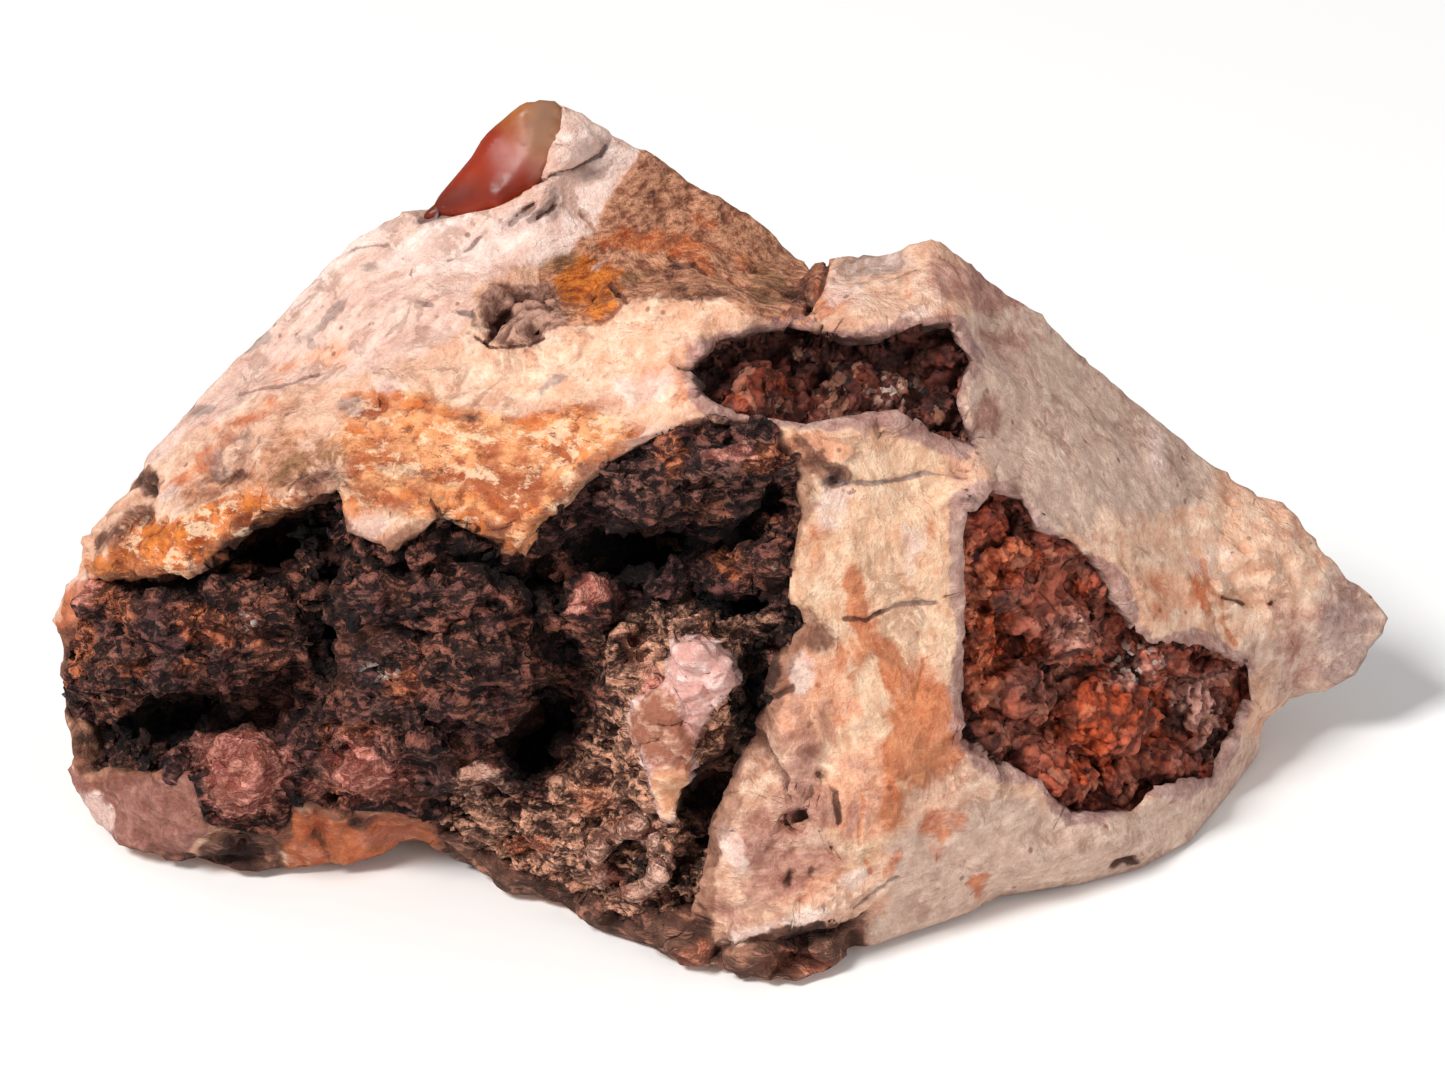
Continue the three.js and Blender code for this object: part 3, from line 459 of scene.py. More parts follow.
class Paint:
    """A material's nodes. Sizes are in millimetres, and colours are as they look on a screen.

    colour is what the layers laid on so far make. mottle_and_shade is how much of each layer is in the
    lighter of its two colours. It follows noise and also the relief, so low places take the darker colour
    as painted shade and high ones the lighter as painted highlight.
    """

    def __init__(self, name, **settings):
        self.material = bpy.data.materials.new(name)
        self.material.use_nodes = True
        self.tree = self.material.node_tree
        self.shader = self.tree.nodes["Principled BSDF"]
        self.output = self.tree.nodes["Material Output"]
        self.place = self.node("ShaderNodeTexCoord").outputs["Object"]
        self.colour = self.mottle_and_shade = None
        for socket, value in settings.items():
            self.set(socket.replace("_", " "), value)

    def set(self, socket, value):
        self.plug(self.shader.inputs[socket], value)

    def plug(self, socket, value):
        if isinstance(value, bpy.types.NodeSocket):
            self.tree.links.new(value, socket)
        else:
            socket.default_value = value

    def node(self, kind, inputs=None, **settings):
        made = self.tree.nodes.new(kind)
        for key, value in settings.items():
            setattr(made, key, value)
        for socket, value in (inputs or {}).items():
            self.plug(made.inputs[socket], value)
        return made

    def at(self, size, stretch=(1, 1, 1), turn=(0, 0, 0)):
        """The place on the object in units of size, stretched along axes turned by turn, in degrees."""
        scale = [1 / (MM * size * s) for s in stretch]
        angles = [math.radians(-angle) for angle in turn]
        turned = self.node("ShaderNodeMapping", {"Vector": self.place, "Rotation": angles})
        mapping = self.node("ShaderNodeMapping", {"Vector": turned.outputs[0], "Scale": scale})
        return mapping.outputs[0]

    def noise(self, size, detail=3.0, roughness=0.6, warp=0.0, **stretching):
        inputs = {"Vector": self.at(size, **stretching), "Scale": 1.0, "Detail": detail}
        inputs |= {"Roughness": roughness, "Distortion": warp}
        return self.node("ShaderNodeTexNoise", inputs).outputs["Fac"]

    def cells(self, size, output="Distance"):
        inputs = {"Vector": self.at(size), "Scale": 1.0}
        return self.node("ShaderNodeTexVoronoi", inputs).outputs[output]

    def attribute(self, name):
        return self.node("ShaderNodeAttribute", attribute_name=name).outputs["Fac"]

    def sum(self, *terms):
        """Adds up pairs of (factor, socket), sockets and plain numbers."""
        total = 0.0
        for term in terms:
            factor, value = term if isinstance(term, tuple) else (1.0, term)
            inputs = {0: value, 1: factor, 2: total}
            total = self.node("ShaderNodeMath", inputs, operation="MULTIPLY_ADD").outputs[0]
        return total

    def times(self, a, b):
        return self.node("ShaderNodeMath", {0: a, 1: b}, operation="MULTIPLY").outputs[0]

    def step(self, value, low, high, top=1.0):
        """0 at low, top at high, level beyond them and a soft rise or fall between them."""
        inputs = {"Value": value, "From Min": low, "From Max": high, "To Min": 0.0, "To Max": top}
        return self.node("ShaderNodeMapRange", inputs, interpolation_type="SMOOTHSTEP").outputs[0]

    def creases(self, size, detail=4.0, roughness=0.65, warp=0.5, sharp=0.1, **stretching):
        """0 along crooked lines about size apart, rising to 1 between them."""
        away = self.sum(-0.5, self.noise(size, detail, roughness, warp, **stretching))
        away = self.node("ShaderNodeMath", {0: away}, operation="ABSOLUTE").outputs[0]
        return self.step(away, 0.0, sharp)

    def blend(self, share, below, above):
        return self.node("ShaderNodeMix", {0: share, 2: below, 3: above}).outputs[0]

    def mix(self, share, *colours):
        """The first of two colours where share is 0, and the second where it is 1."""
        made = self.node("ShaderNodeMix", data_type="RGBA")
        self.plug(made.inputs[0], share)
        for socket, colour in zip((6, 7), colours):
            self.plug(made.inputs[socket], shade(*colour) if isinstance(colour, tuple) else colour)
        return made.outputs[2]

    def cover(self, share, colour, strength=1.0):
        """Lays a colour on by a share."""
        self.colour = self.mix(self.times(share, strength), self.colour, colour)

    def cover_layers(self, layers, noise):
        """Lays each layer's two colours, mixed by mottle_and_shade, on where its mask is high. Noise makes
        the edges ragged.
        """
        for mask, dark, light, strength in layers:
            reach = self.sum(self.attribute(mask), (LAYER_RAGGED, noise), -0.5 - LAYER_RAGGED / 2)
            share = self.step(reach, -LAYER_SOFT, LAYER_SOFT, strength)
            self.colour = self.mix(share, self.colour, self.mix(self.mottle_and_shade, dark, light))

    def tint(self, value, low, high):
        """Makes the colour darker or brighter, from low to high, as value goes from 0.25 to 0.75."""
        inputs = {"Value": value, "From Min": 0.25, "From Max": 0.75, "To Min": low, "To Max": high}
        brightness = self.node("ShaderNodeMapRange", inputs).outputs[0]
        inputs = {"Color": self.colour, "Value": brightness}
        self.colour = self.node("ShaderNodeHueSaturation", inputs).outputs[0]

    def finish(self, *heights):
        """Sets the colour, and bumps of (height in millimetres, socket), and returns the material."""
        inputs = {"Height": self.sum(*heights), "Distance": MM, "Strength": 1.0}
        self.set("Base Color", self.colour)
        self.set("Normal", self.node("ShaderNodeBump", inputs).outputs[0])
        return self.material


# ---------------------------------------------------------------- where things are on the show side

# Outlines: (across, up).
BROWN_CRUST_OUTLINE = [
    (-31.2, -2.2), (-28.5, -2.2), (-25.8, -1.3), (-23.5, 0.2), (-21.5, 1.5), (-19.3, 2.2), (-18.9, 0.2),
    (-16.5, -0.7), (-14, 0.7), (-12, 0), (-10, -0.9), (-8.2, 1.5), (-5.5, 3.6), (-3, 4.9), (-0.9, 5.7),
    (2, 5.4), (3.5, 3.8), (4, 1.6), (3.3, -1), (3.1, -3), (4.2, -4.2), (2.6, -6.2), (1.9, -9.4),
    (0.6, -11.8), (-0.4, -14), (-1.1, -16.2), (-1.4, -18.4), (-4.2, -18.6), (-7.6, -16.8), (-10.6, -15.8),
    (-13, -14), (-16, -13.2), (-21.4, -12.9), (-22.4, -14.4), (-25.4, -13.8), (-26.1, -11.4),
    (-31.2, -11.3), (-31.8, -8), (-32, -5.6),
]
TRIANGLE_OUTLINE = [
    (12.4, 1.4), (13.6, 2.4), (14.9, 1.9), (15.6, 0.4), (17.2, -0.2), (18.9, -1.6), (20.1, -3.9),
    (21.2, -5.2), (23.6, -5.4), (26, -6.4), (26.2, -8), (25.3, -9.4), (24.3, -11.6), (21.6, -12.2),
    (20.4, -13.3), (17.6, -13.4), (16, -11.9), (13.6, -11.3), (12.1, -10), (12.1, -6.4), (12.5, -3),
]
UPPER_OUTLINE = [
    (-1.3, 8.4), (0, 9.7), (1.8, 10.2), (3.4, 10.5), (5.6, 10), (8.6, 10.3), (11.4, 10.6), (12.3, 8.9),
    (11.6, 7.2), (12.3, 5), (10.5, 5.4), (8.9, 6.5), (7, 6.1), (4, 6), (1.6, 6.3), (-0.3, 7.2),
]
OPAL_OUTLINE = [
    (-15.2, 16.5), (-13.6, 18.6), (-12.4, 20.9), (-10.4, 22.6), (-8.4, 22.6), (-8.2, 20.4), (-9.1, 18.3),
    (-11.1, 17), (-12.9, 16.7),
]
SLAB = [
    (-29, 3.4), (-30, 8), (-24, 13), (-19, 17), (-13, 19), (-10, 24), (-4, 22), (-1.6, 18.4), (-4.4, 18.6),
    (-6.4, 15.6), (-9, 14), (-12.2, 12.7), (-12.6, 10.4), (-16, 9), (-19.5, 7.8), (-23, 7), (-26.5, 5.5),
]
TAN_FACET = [
    (-9.2, 14.1), (-8.5, 14.7), (-7, 15.4), (-6, 16.4), (-5.4, 17.3), (-4.7, 18.1), (-3.7, 19.6),
    (-1, 19.4), (2, 17.4), (6, 14), (4.4, 12.2), (3, 11), (0, 12.2), (-4, 12.2), (-6, 10.6), (-8.8, 10.8),
]
POCKET = [(-12.2, 12.2), (-11, 12.9), (-8.6, 12.7), (-7.6, 11), (-9.3, 9.8), (-11.5, 9.7)]
AMBER = [
    (-8, 14.2), (-6.8, 14.6), (-5.4, 14.2), (-4.5, 12.9), (-4.9, 11.6), (-6.1, 10.9), (-7.4, 11.8),
    (-8.2, 13),
]
STAIN = [
    (-19.3, 5.4), (-18.5, 7.2), (-16, 7.9), (-13.5, 7), (-10, 6.5), (-6, 6.9), (-3.8, 5.6), (-6, 3.6),
    (-8, 1.2), (-10, -1), (-11.5, -0.4), (-14, 0.9), (-16.5, 1.4), (-18.8, 2.2),
]
LEFT_STAIN = [
    (-32, -1.4), (-29.5, 0.9), (-26.5, 1.7), (-23.5, 2.2), (-20.4, 2.4), (-21.6, 1), (-24, 0), (-26, -1.8),
    (-28.6, -2.8), (-31.4, -2.4),
]
LEFT_TAN = [(-28, 2), (-26, 4), (-22, 5.4), (-19.6, 5.4), (-19, 1.6), (-21, 1.6), (-24, 1.8), (-26.4, 1.2)]
RIGHT_SLOPE = [
    (11.6, 10.6), (13.6, 14), (20, 9), (25.4, 4.4), (24.5, 1.5), (21.5, 0.8), (18.8, 1), (16, 0), (13.6, 3),
    (12.2, 5.4),
]
PEACH_PATCH = [
    (18, -1.4), (21, 0.4), (24.6, 2), (28.5, 1.2), (30.6, -1.4), (28.8, -4.6), (25, -5.4), (21, -4.6),
]
RIGHT_TIP = [(27.5, -2.6), (31, -0.8), (34.6, -3.6), (33.4, -7), (28.6, -8.6), (26.4, -6.4)]
LOW_RIGHT = [
    (8.6, -15), (12, -13.2), (16.6, -13), (21.5, -12.9), (25.4, -10.4), (27.6, -8.6), (28, -13), (24, -17),
    (13, -21), (7.4, -21),
]
LOW_FRONT = [
    (2.6, -5.8), (5.6, -5.2), (7.4, -8.2), (8.6, -13), (5.6, -18.2), (1, -19.9), (-1.8, -18.6), (0, -15),
    (1.4, -11.4), (2, -8.6),
]
FRONT = [
    (3.2, 5.6), (11.6, 4.8), (12.6, 0), (11.8, -9), (9.4, -14), (6.6, -17.4), (2.4, -6), (4, -4), (3.4, -1),
    (3.9, 2),
]
PINK_FOOT = [(-33, -11.4), (-26.2, -11.5), (-25.8, -13.6), (-27, -15.4), (-29.6, -16.4), (-33, -14.4)]
FOOT = [
    (-8, -17.2), (-4.2, -18.2), (-1.6, -18.6), (0.4, -20), (7.4, -18.4), (7.6, -20.6), (3, -23), (-8, -20),
]
UNDER_CRUST = [
    (-14.4, -13), (-10.6, -14.6), (-7.6, -15.6), (-4, -17.4), (-1, -18), (0, -21), (-5, -21),
    (-14.4, -16.6),
]
BROWN_EDGE = [(-30, -15.3), (-26.4, -14.9), (-24, -14.2), (-21.8, -13.6), (-21.8, -17.6), (-29, -17.4)]
ORANGE_FACET = [(-22.2, -13), (-14, -13.1), (-13.4, -15.4), (-18, -17), (-22, -17.6)]
RIGHT_PEAK = [(4, 11.2), (5.6, 14.6), (10.6, 16), (12, 14), (10.6, 11.4), (7, 10.6)]
CREST = [
    (-13, 8.4), (-11, 10), (-8, 10.6), (-5, 11.8), (-1, 12.6), (1.4, 11.8), (0, 10), (-1.8, 8.6),
    (-0.8, 6.6), (-4, 6.4), (-9, 7),
]
NODULE = [
    (-2.4, -5), (-1, -4.6), (0.75, -6), (1.1, -7.2), (0, -8.2), (-0.9, -9.7), (-1.4, -10.8), (-1, -11.8),
    (-2.4, -14.3), (-2.9, -14.5), (-3.7, -11.5), (-4.4, -10), (-4.4, -8), (-3.5, -7.5), (-2.6, -7),
]
TAN_CRUST = [
    (-6.6, -5.6), (-4, -3.6), (2, -3.4), (4, -4.6), (2, -8), (0, -13), (-1, -19), (-8, -18), (-14, -14.4),
    (-13, -12.4), (-9.6, -12.8), (-6.6, -10.4), (-5, -8),
]
LIT_CRUST = [(-6.8, 2.4), (-3, 5), (2.6, 5.4), (3.8, 3.6), (1.8, 1.6), (-1.4, 2.2), (-4.6, 1)]

# Soft ovals: (across, up, half width, half height, turn in degrees, strength).
ROCK_SPOTS = {
    "rust": [
        (-32.7, -4.6, 0.7, 1.8, 0, 1.1), (-1.4, 14.6, 1.6, 0.6, -20, 0.7), (1.4, 13.6, 1.2, 0.5, -30, 0.6),
        (3.9, 10.8, 0.7, 0.9, 0, 0.8), (7.1, -3.4, 0.7, 2, 14, 1), (8.3, -5.6, 0.6, 2.4, 12, 0.9),
        (10.1, -9.6, 1.7, 2.4, 6, 1.1), (9.2, -12.8, 0.8, 1.6, -20, 0.8), (5.2, 0.4, 0.8, 2, -10, 0.45),
        (11.2, -14.2, 0.9, 1.4, -20, 0.6), (24.4, -2.9, 0.35, 2.2, 12, 0.8), (5.2, 12.6, 0.9, 0.9, 0, 0.7),
        (10.8, 0, 0.5, 2, 4, 0.4), (-26.6, 3.5, 2.3, 0.6, 35, 0.9), (6.4, -7.4, 2, 1, 0, 0.45),
        (17.2, 4.6, 0.5, 1, 10, 0.4), (8.4, -16.4, 1.2, 0.4, 50, 0.6), (13.2, -16.8, 0.5, 0.6, 0, 0.7),
        (-1, 7.6, 1.6, 0.6, 20, 0.5), (-23.6, 6.2, 2.4, 0.7, 20, 0.5), (-27.6, -0.6, 2.2, 0.7, 35, 0.8),
        (-24, 0.9, 1.8, 0.5, 10, 0.8), (9.3, 12.8, 0.4, 1.2, 0, 0.6), (6.6, -5.8, 1.6, 1.2, 0, 0.5),
        (4.8, -10.8, 1, 0.6, 40, 0.5), (9.6, -11, 1.4, 1.8, 0, 0.9), (6.4, -2.4, 0.5, 0.8, 0, 0.8),
        (-3.2, 14.4, 1.6, 0.5, -10, 0.9), (-5.2, 15.2, 0.8, 0.5, 0, 0.8), (-0.4, 15.8, 1.4, 0.6, -20, 0.6),
    ],
    "olive": [
        (-8.1, 14.5, 1.1, 0.7, 30, 0.9), (-3.8, 13.2, 1.2, 0.4, 20, 0.7), (-2.2, 12.6, 1.2, 0.4, 0, 0.6),
        (2.6, 12.6, 1.6, 0.7, -30, 0.7), (-21, 3.6, 2.4, 0.8, 15, 0.6), (-25.2, 3, 1, 0.4, 0, 0.6),
    ],
    "flush": [
        (4.8, -8, 2, 2.4, 0, 1.3), (7.2, -12.6, 2.2, 2.2, 0, 1.1), (3.6, -16.6, 2.8, 1.2, 15, 1.1),
        (4.9, 12.4, 1.5, 1.1, 0, 1.4), (4.8, 4.4, 1.6, 0.7, 0, 1.2), (-2.4, 8.6, 2.2, 0.8, 15, 0.9),
        (22.6, -2.4, 2.6, 1, 10, 0.9), (-20.5, 8.6, 3, 0.8, 25, 0.7), (9.6, -7.6, 1.4, 2.4, 0, 0.8),
        (-7.6, 5.5, 1.8, 0.6, 20, 1.1), (-12.5, 1.6, 1, 1, 0, 1),
    ],
    "mauve": [
        (13, 13, 2.2, 1.2, -42, 1), (14.5, 10, 1.8, 1.6, -40, 0.5), (13.3, 6.4, 0.9, 1.4, 0, 0.6),
        (-1, 9.8, 2, 0.8, 15, 0.5), (4.2, -11.6, 1.6, 1.2, 30, 0.8), (2.6, -16.6, 2, 1.3, 30, 1),
        (11.6, 13.6, 1.2, 1.4, -30, 0.8), (-10.6, 16.6, 1.2, 0.4, 25, 0.5),
    ],
    "white": [
        (-12.2, 14.6, 3, 0.9, 35, 0.9), (-7.4, 16.2, 2.6, 0.7, 45, 0.8), (-18, 14.6, 2.4, 0.8, 35, 0.8),
        (-3, 5.2, 1.6, 0.8, 20, 0.8), (-5.6, 21, 1.2, 0.4, -30, 0.8), (-16.2, 7.8, 0.9, 0.42, 0, 1.3),
        (21.6, 4.2, 0.6, 1.3, 10, 1), (0.3, -15, 0.45, 1.4, 16, 1.2), (3.2, -18.9, 2.8, 0.4, 12, 1.1),
        (-7.2, 20, 0.9, 0.5, 25, 1), (-9, 19.2, 0.9, 0.3, 30, 1.2), (-31, -13.6, 0.6, 1.6, 30, 0.9),
        (4, -6.6, 0.7, 0.9, 0, 0.9), (-17.6, 0.6, 1.8, 0.7, 30, 0.9), (6, 12.6, 0.7, 0.8, 0, 0.9),
        (-27.8, 2.4, 0.6, 0.6, 0, 0.8), (-5.8, 13.9, 0.7, 0.4, 40, 0.7), (9.6, -19, 0.6, 1, 30, 0.6),
        (-4.6, 7.6, 2.4, 0.8, 20, 0.7), (24.6, -1.4, 2, 0.8, -20, 0.5), (10, 11.6, 1.4, 0.4, 10, 0.6),
        (-14.2, 15, 2.6, 1, 35, 1.4), (-11.2, 15.2, 2.2, 0.9, 35, 1.3), (-31.6, -2.5, 0.8, 0.4, 0, 1.2),
        (-21, 12.4, 2, 0.6, 38, 0.8), (-6.8, 19.2, 1.6, 0.7, 20, 1), (5.6, 1.4, 0.8, 1.2, 0, 0.7),
        (10, -1.2, 0.8, 1.6, 0, 0.6), (6.6, -16.8, 0.9, 0.7, 30, 0.7),
    ],
    "grey": [
        (-6.2, 19, 0.9, 0.3, 20, 0.8), (-8.2, 19.9, 0.5, 0.4, 0, 0.6), (8, 13.6, 2.4, 1, 0, 0.75),
        (31.6, -5, 2.2, 2.2, 0, 0.85), (-9.4, 16.5, 1.6, 0.3, 22, 1.2), (-6.3, 18.3, 1.5, 0.5, 20, 1),
        (-19.7, 11.2, 1.5, 0.28, 28, 1), (-22.8, 9.9, 0.7, 0.3, 22, 1), (-17.2, 13.2, 0.9, 0.24, 20, 0.9),
        (-26.3, 6.5, 0.7, 0.3, 0, 1), (-24.5, 4, 2.2, 1, 30, 0.6), (-20.3, 9.8, 0.3, 0.5, 20, 1),
        (-11.4, 14.6, 0.5, 0.16, 40, 1), (-6, 20.2, 1.1, 0.3, -25, 0.6), (-8.4, 17.6, 0.6, 0.9, 0, 0.5),
        (-14.6, 16.3, 0.9, 0.4, 25, 0.9), (-8.4, 8.2, 1.1, 0.3, 15, 0.7), (-18.5, 6.8, 0.6, 0.5, 0, 0.8),
    ],
    "coral": [
        (-1.4, -20.4, 0.6, 1, -40, 1.2), (3.6, -21.2, 1.6, 0.8, 10, 1), (-31.6, -2.8, 1.2, 0.5, 0, 0.9),
        (-16.2, -14.6, 1.6, 0.5, -12, 0.8), (-20.4, -15.6, 0.8, 0.6, 0, 0.7),
    ],
    "brown": [
        (-32.7, -7, 0.9, 2.6, 0, 1.1), (-31.6, -11, 1.4, 0.5, 0, 0.8), (-12.4, 6.2, 0.9, 0.3, 10, 0.7),
        (-28.9, 3.1, 0.9, 0.8, 0, 1.2), (-30, 0.7, 1.6, 0.6, 30, 1), (-20.4, 2.8, 1.6, 1, 0, 0.9),
        (-24.6, 2.9, 0.9, 0.3, -10, 0.9), (5.6, 3, 0.8, 0.5, 0, 1.2), (4.6, 3.8, 0.5, 1.2, 20, 0.9),
        (4.6, -5, 1, 0.8, 0, 0.8), (-2.2, 13.4, 0.3, 0.7, 20, 1), (-1.8, 12.2, 2.6, 0.4, 5, 0.8),
        (4.4, 12.4, 0.5, 1.4, -35, 1), (-3.6, 16.9, 0.4, 0.3, 0, 1), (4.4, -9.2, 0.4, 0.3, 40, 0.8),
        (3.1, -16.5, 0.35, 0.6, 0, 1), (4.4, -16.4, 0.25, 0.3, 0, 1), (14.8, -9.6, 0.5, 0.5, 0, 0.6),
        (-21.6, -14, 0.5, 1.4, 20, 1), (-18.4, -13.5, 1.8, 0.3, -4, 0.9), (-19.6, -15, 0.3, 0.8, 30, 0.8),
        (20.4, -16.6, 0.9, 0.25, 10, 1), (-9.6, 3.6, 0.6, 0.5, 0, 0.5), (-6.6, 3.2, 0.7, 0.5, 0, 0.5),
    ],
}
CRUST_ORANGE_SPOTS = [
    (-31.6, -2.9, 1.4, 0.7, 0, 1), (-30, -3.8, 0.8, 0.9, 0, 1), (-32.2, -5.6, 0.8, 1.4, 0, 1),
    (-25.1, -1.7, 1.9, 0.5, 8, 0.9), (-25.7, -4.6, 1.6, 1, -30, 1), (-22.9, -5, 0.9, 0.5, 0, 0.8),
    (-26.3, -6.6, 0.8, 0.6, 0, 0.8), (-18.6, -10, 1.2, 0.8, -10, 1.1), (-17.8, -12, 1.8, 1.1, 0, 0.8),
    (-2.3, 4.3, 0.8, 1, 0, 1.2), (2.3, 4.1, 1, 0.8, 0, 0.9), (0.5, -0.9, 0.6, 0.7, 40, 1.1),
    (2.7, 0.7, 0.9, 0.5, 20, 0.7), (-4.8, -14.6, 0.8, 1.4, 10, 0.8), (-6.6, -13, 1.6, 1, 0, 0.5),
    (-9.6, -15.4, 1.2, 0.6, 0, 0.7), (-15.9, -7.3, 1.2, 0.9, 0, 0.6), (-29.4, -6.8, 1.4, 0.6, 0, 0.5),
]
CRUST_PINK_SPOTS = [
    (-24, -10.9, 2.4, 2.6, 0, 1.2), (-17.6, -11.4, 2.4, 1.4, -20, 0.9), (-32, -3, 0.7, 0.6, 0, 1),
    (-6.4, -3, 1.1, 1.1, 0, 1), (0.3, 4.5, 1.4, 0.6, 10, 0.8), (-22.4, -8.4, 0.8, 1, 0, 0.7),
    (-5.2, -16.8, 0.5, 1.3, 40, 1), (-3.2, -8, 1, 2, 0, 0.8), (3.4, -5.6, 0.8, 0.8, 0, 0.7),
    (-20.6, -12.2, 1.6, 0.6, 0, 0.6),
]
HOLLOW_SPOTS = {
    "orange": [
        (19.2, -8.4, 2.8, 2.2, 10, 1.2), (14.9, -0.9, 1.2, 0.9, 0, 1.1), (13.2, -4.6, 1.3, 3.4, 0, 1.2),
        (17, -12.2, 1.8, 1.2, 0, 0.9), (2.2, 6.9, 2, 1.2, 0, 0.7), (11, 8.6, 1, 1, 0, 0.4),
        (19.6, -3.6, 0.8, 1, -30, 0.9), (22.4, -9.8, 1.2, 1, 0, 0.6),
    ],
    "grey": [
        (17.8, -4.4, 1.7, 1.5, 0, 1), (16, -7.2, 1.5, 1.5, 0, 1), (20.8, -6.3, 1.4, 1, 0, 1),
        (23.8, -8.2, 1.8, 1.6, 0, 1), (14.8, -2.8, 0.9, 0.8, 0, 0.9), (13.6, -9.6, 1.4, 1.2, 0, 0.8),
        (24, -10.6, 1.4, 1, 0, 0.8), (8.3, 7.6, 1, 1, 0, 0.5),
    ],
    "lit": [
        (13, -3, 0.9, 3, 0, 1.2), (14.8, -0.6, 1, 0.8, 0, 1.1), (13.3, -7.2, 0.7, 1.8, 0, 1),
        (18.2, -9.4, 1.2, 0.8, 20, 0.3),
    ],
    "ash": [
        (23.6, -8.2, 1.6, 1.3, 0, 1), (24.6, -10, 0.9, 0.9, 0, 0.9), (21, -6.2, 1, 0.8, 0, 0.8),
        (17.6, -4.6, 1, 0.9, 0, 0.6), (25.2, -6.8, 0.8, 0.5, 0, 0.8),
    ],
}
# Painted shade: near-black ovals over the stone's deep holes and pits. The brown crust is also sunk in
# there.
HOLE_SHADE_SPOTS = [
    (-22, 0.4, 2.8, 0.8, 18, 1), (-19.3, -2.4, 0.4, 3.2, 2, 1), (-11.2, -1.4, 3.2, 0.55, -25, 1),
    (-8.8, -3.4, 1.5, 0.5, -50, 0.9), (-4, -0.3, 2.7, 1, 4, 1.1), (1.7, 1.3, 2.2, 0.7, 42, 0.9),
    (0.8, -2.8, 2.2, 0.5, 0, 1), (-27.4, -9, 3.5, 0.8, 14, 1.1), (-9.4, -10, 2.5, 1.2, 45, 1.1),
    (-7.8, -5.8, 1.6, 0.6, -40, 0.9), (1.7, -7.6, 0.6, 2.8, -22, 0.9), (-0.7, -12.6, 0.6, 1.5, -25, 0.8),
    (3.9, -19.4, 2.8, 0.35, 8, 1.1), (-16, -4.5, 2, 0.35, -6, 0.9), (-14.6, -9.6, 1.8, 0.4, -14, 0.6),
    (-24.6, -15.8, 2.6, 0.5, 4, 0.8), (-6.4, 2, 1.4, 0.8, 30, 0.5), (-30.8, -10, 1.4, 0.8, 0, 0.8),
    (-0.7, 8.2, 0.8, 0.7, 0, 1), (6, 8.9, 3.2, 0.6, -4, 0.7), (11, 7, 0.8, 1.6, 0, 0.6),
    (12.5, -9.6, 0.4, 1.6, 0, 0.8), (17.8, -6.6, 2.6, 0.2, 28, 0.8), (13, 1.6, 0.8, 0.9, 0, 0.6),
    (-12.2, 10.2, 0.3, 0.7, 20, 0.5), (-10.6, 9.9, 1.2, 0.2, 0, 0.5), (2.8, 3.2, 0.7, 0.5, 0, 0.6),
]
NODULE_FLESH_SPOTS = [(-3, -9.4, 1.5, 1.8, 0, 1.2), (-3.2, -7.8, 0.8, 0.8, 0, 1), (-1.8, -10.4, 1, 1, 0, 1)]
NODULE_CREAM_SPOTS = [(-2.4, -12.8, 1, 1.6, 5, 1.2)]
OPAL_DUSKY_SPOTS = [
    (-13.4, 17, 1.6, 0.6, 20, 1.1), (-10.6, 17.7, 1.2, 0.6, 25, 1), (-14.9, 16.6, 0.8, 0.6, 20, 1.4),
    (-13, 19.9, 0.5, 1.8, -38, 0.8),
]
OPAL_SMOKY_SPOTS = [(-8.8, 21, 0.8, 1.8, -8, 1), (-9.2, 19, 0.5, 1, 0, 0.8)]
# Painted glints: where pale dots are strewn over the crusts.
SPARKLE_SPOTS = [
    (20.8, -6.2, 1.2, 0.8, 0, 1), (-17, -6.6, 0.7, 0.35, 0, 1), (-23.6, -4, 0.3, 0.3, 0, 1),
    (8.6, 7.6, 1, 0.6, 0, 0.7), (3, 6.7, 0.4, 0.4, 0, 0.8),
]
FLAKE_SPOTS = [(-12.2, -12.1, 1.3, 0.45, -5, 1), (-3.6, -17.6, 1, 0.3, 10, 0.7)]
RAISED_SPOTS = [
    (-11.4, 11.5, 0.8, 1, 0, 0.5), (-9.9, 11, 1.9, 1.2, -10, 1.3), (-7.4, 19.4, 1.5, 0.8, 20, 0.5),
    (-16.4, 7.8, 1, 0.5, 0, 0.7), (3.4, -18.6, 3, 0.6, 10, 1), (21.8, 3.6, 1, 1.4, 10, 0.7),
    (0.4, -15, 0.6, 1.6, 16, 0.8), (-3, -19.8, 2.4, 0.8, -14, 1), (3.4, -20.6, 2.2, 0.8, 0, 1.2),
    (9, -11.8, 1.2, 2, 10, 0.5), (4, -9.6, 1.4, 1.6, 0, 0.6), (7.4, -9.4, 1, 2.4, 14, 0.5),
    (11.6, 3.6, 1, 0.6, 0, 0.4),
]
PITS = [(3.9, -13.7, 0.5, 0.45, -20, 0.8), (20.4, -16.6, 0.9, 0.35, 10, 0.6)]

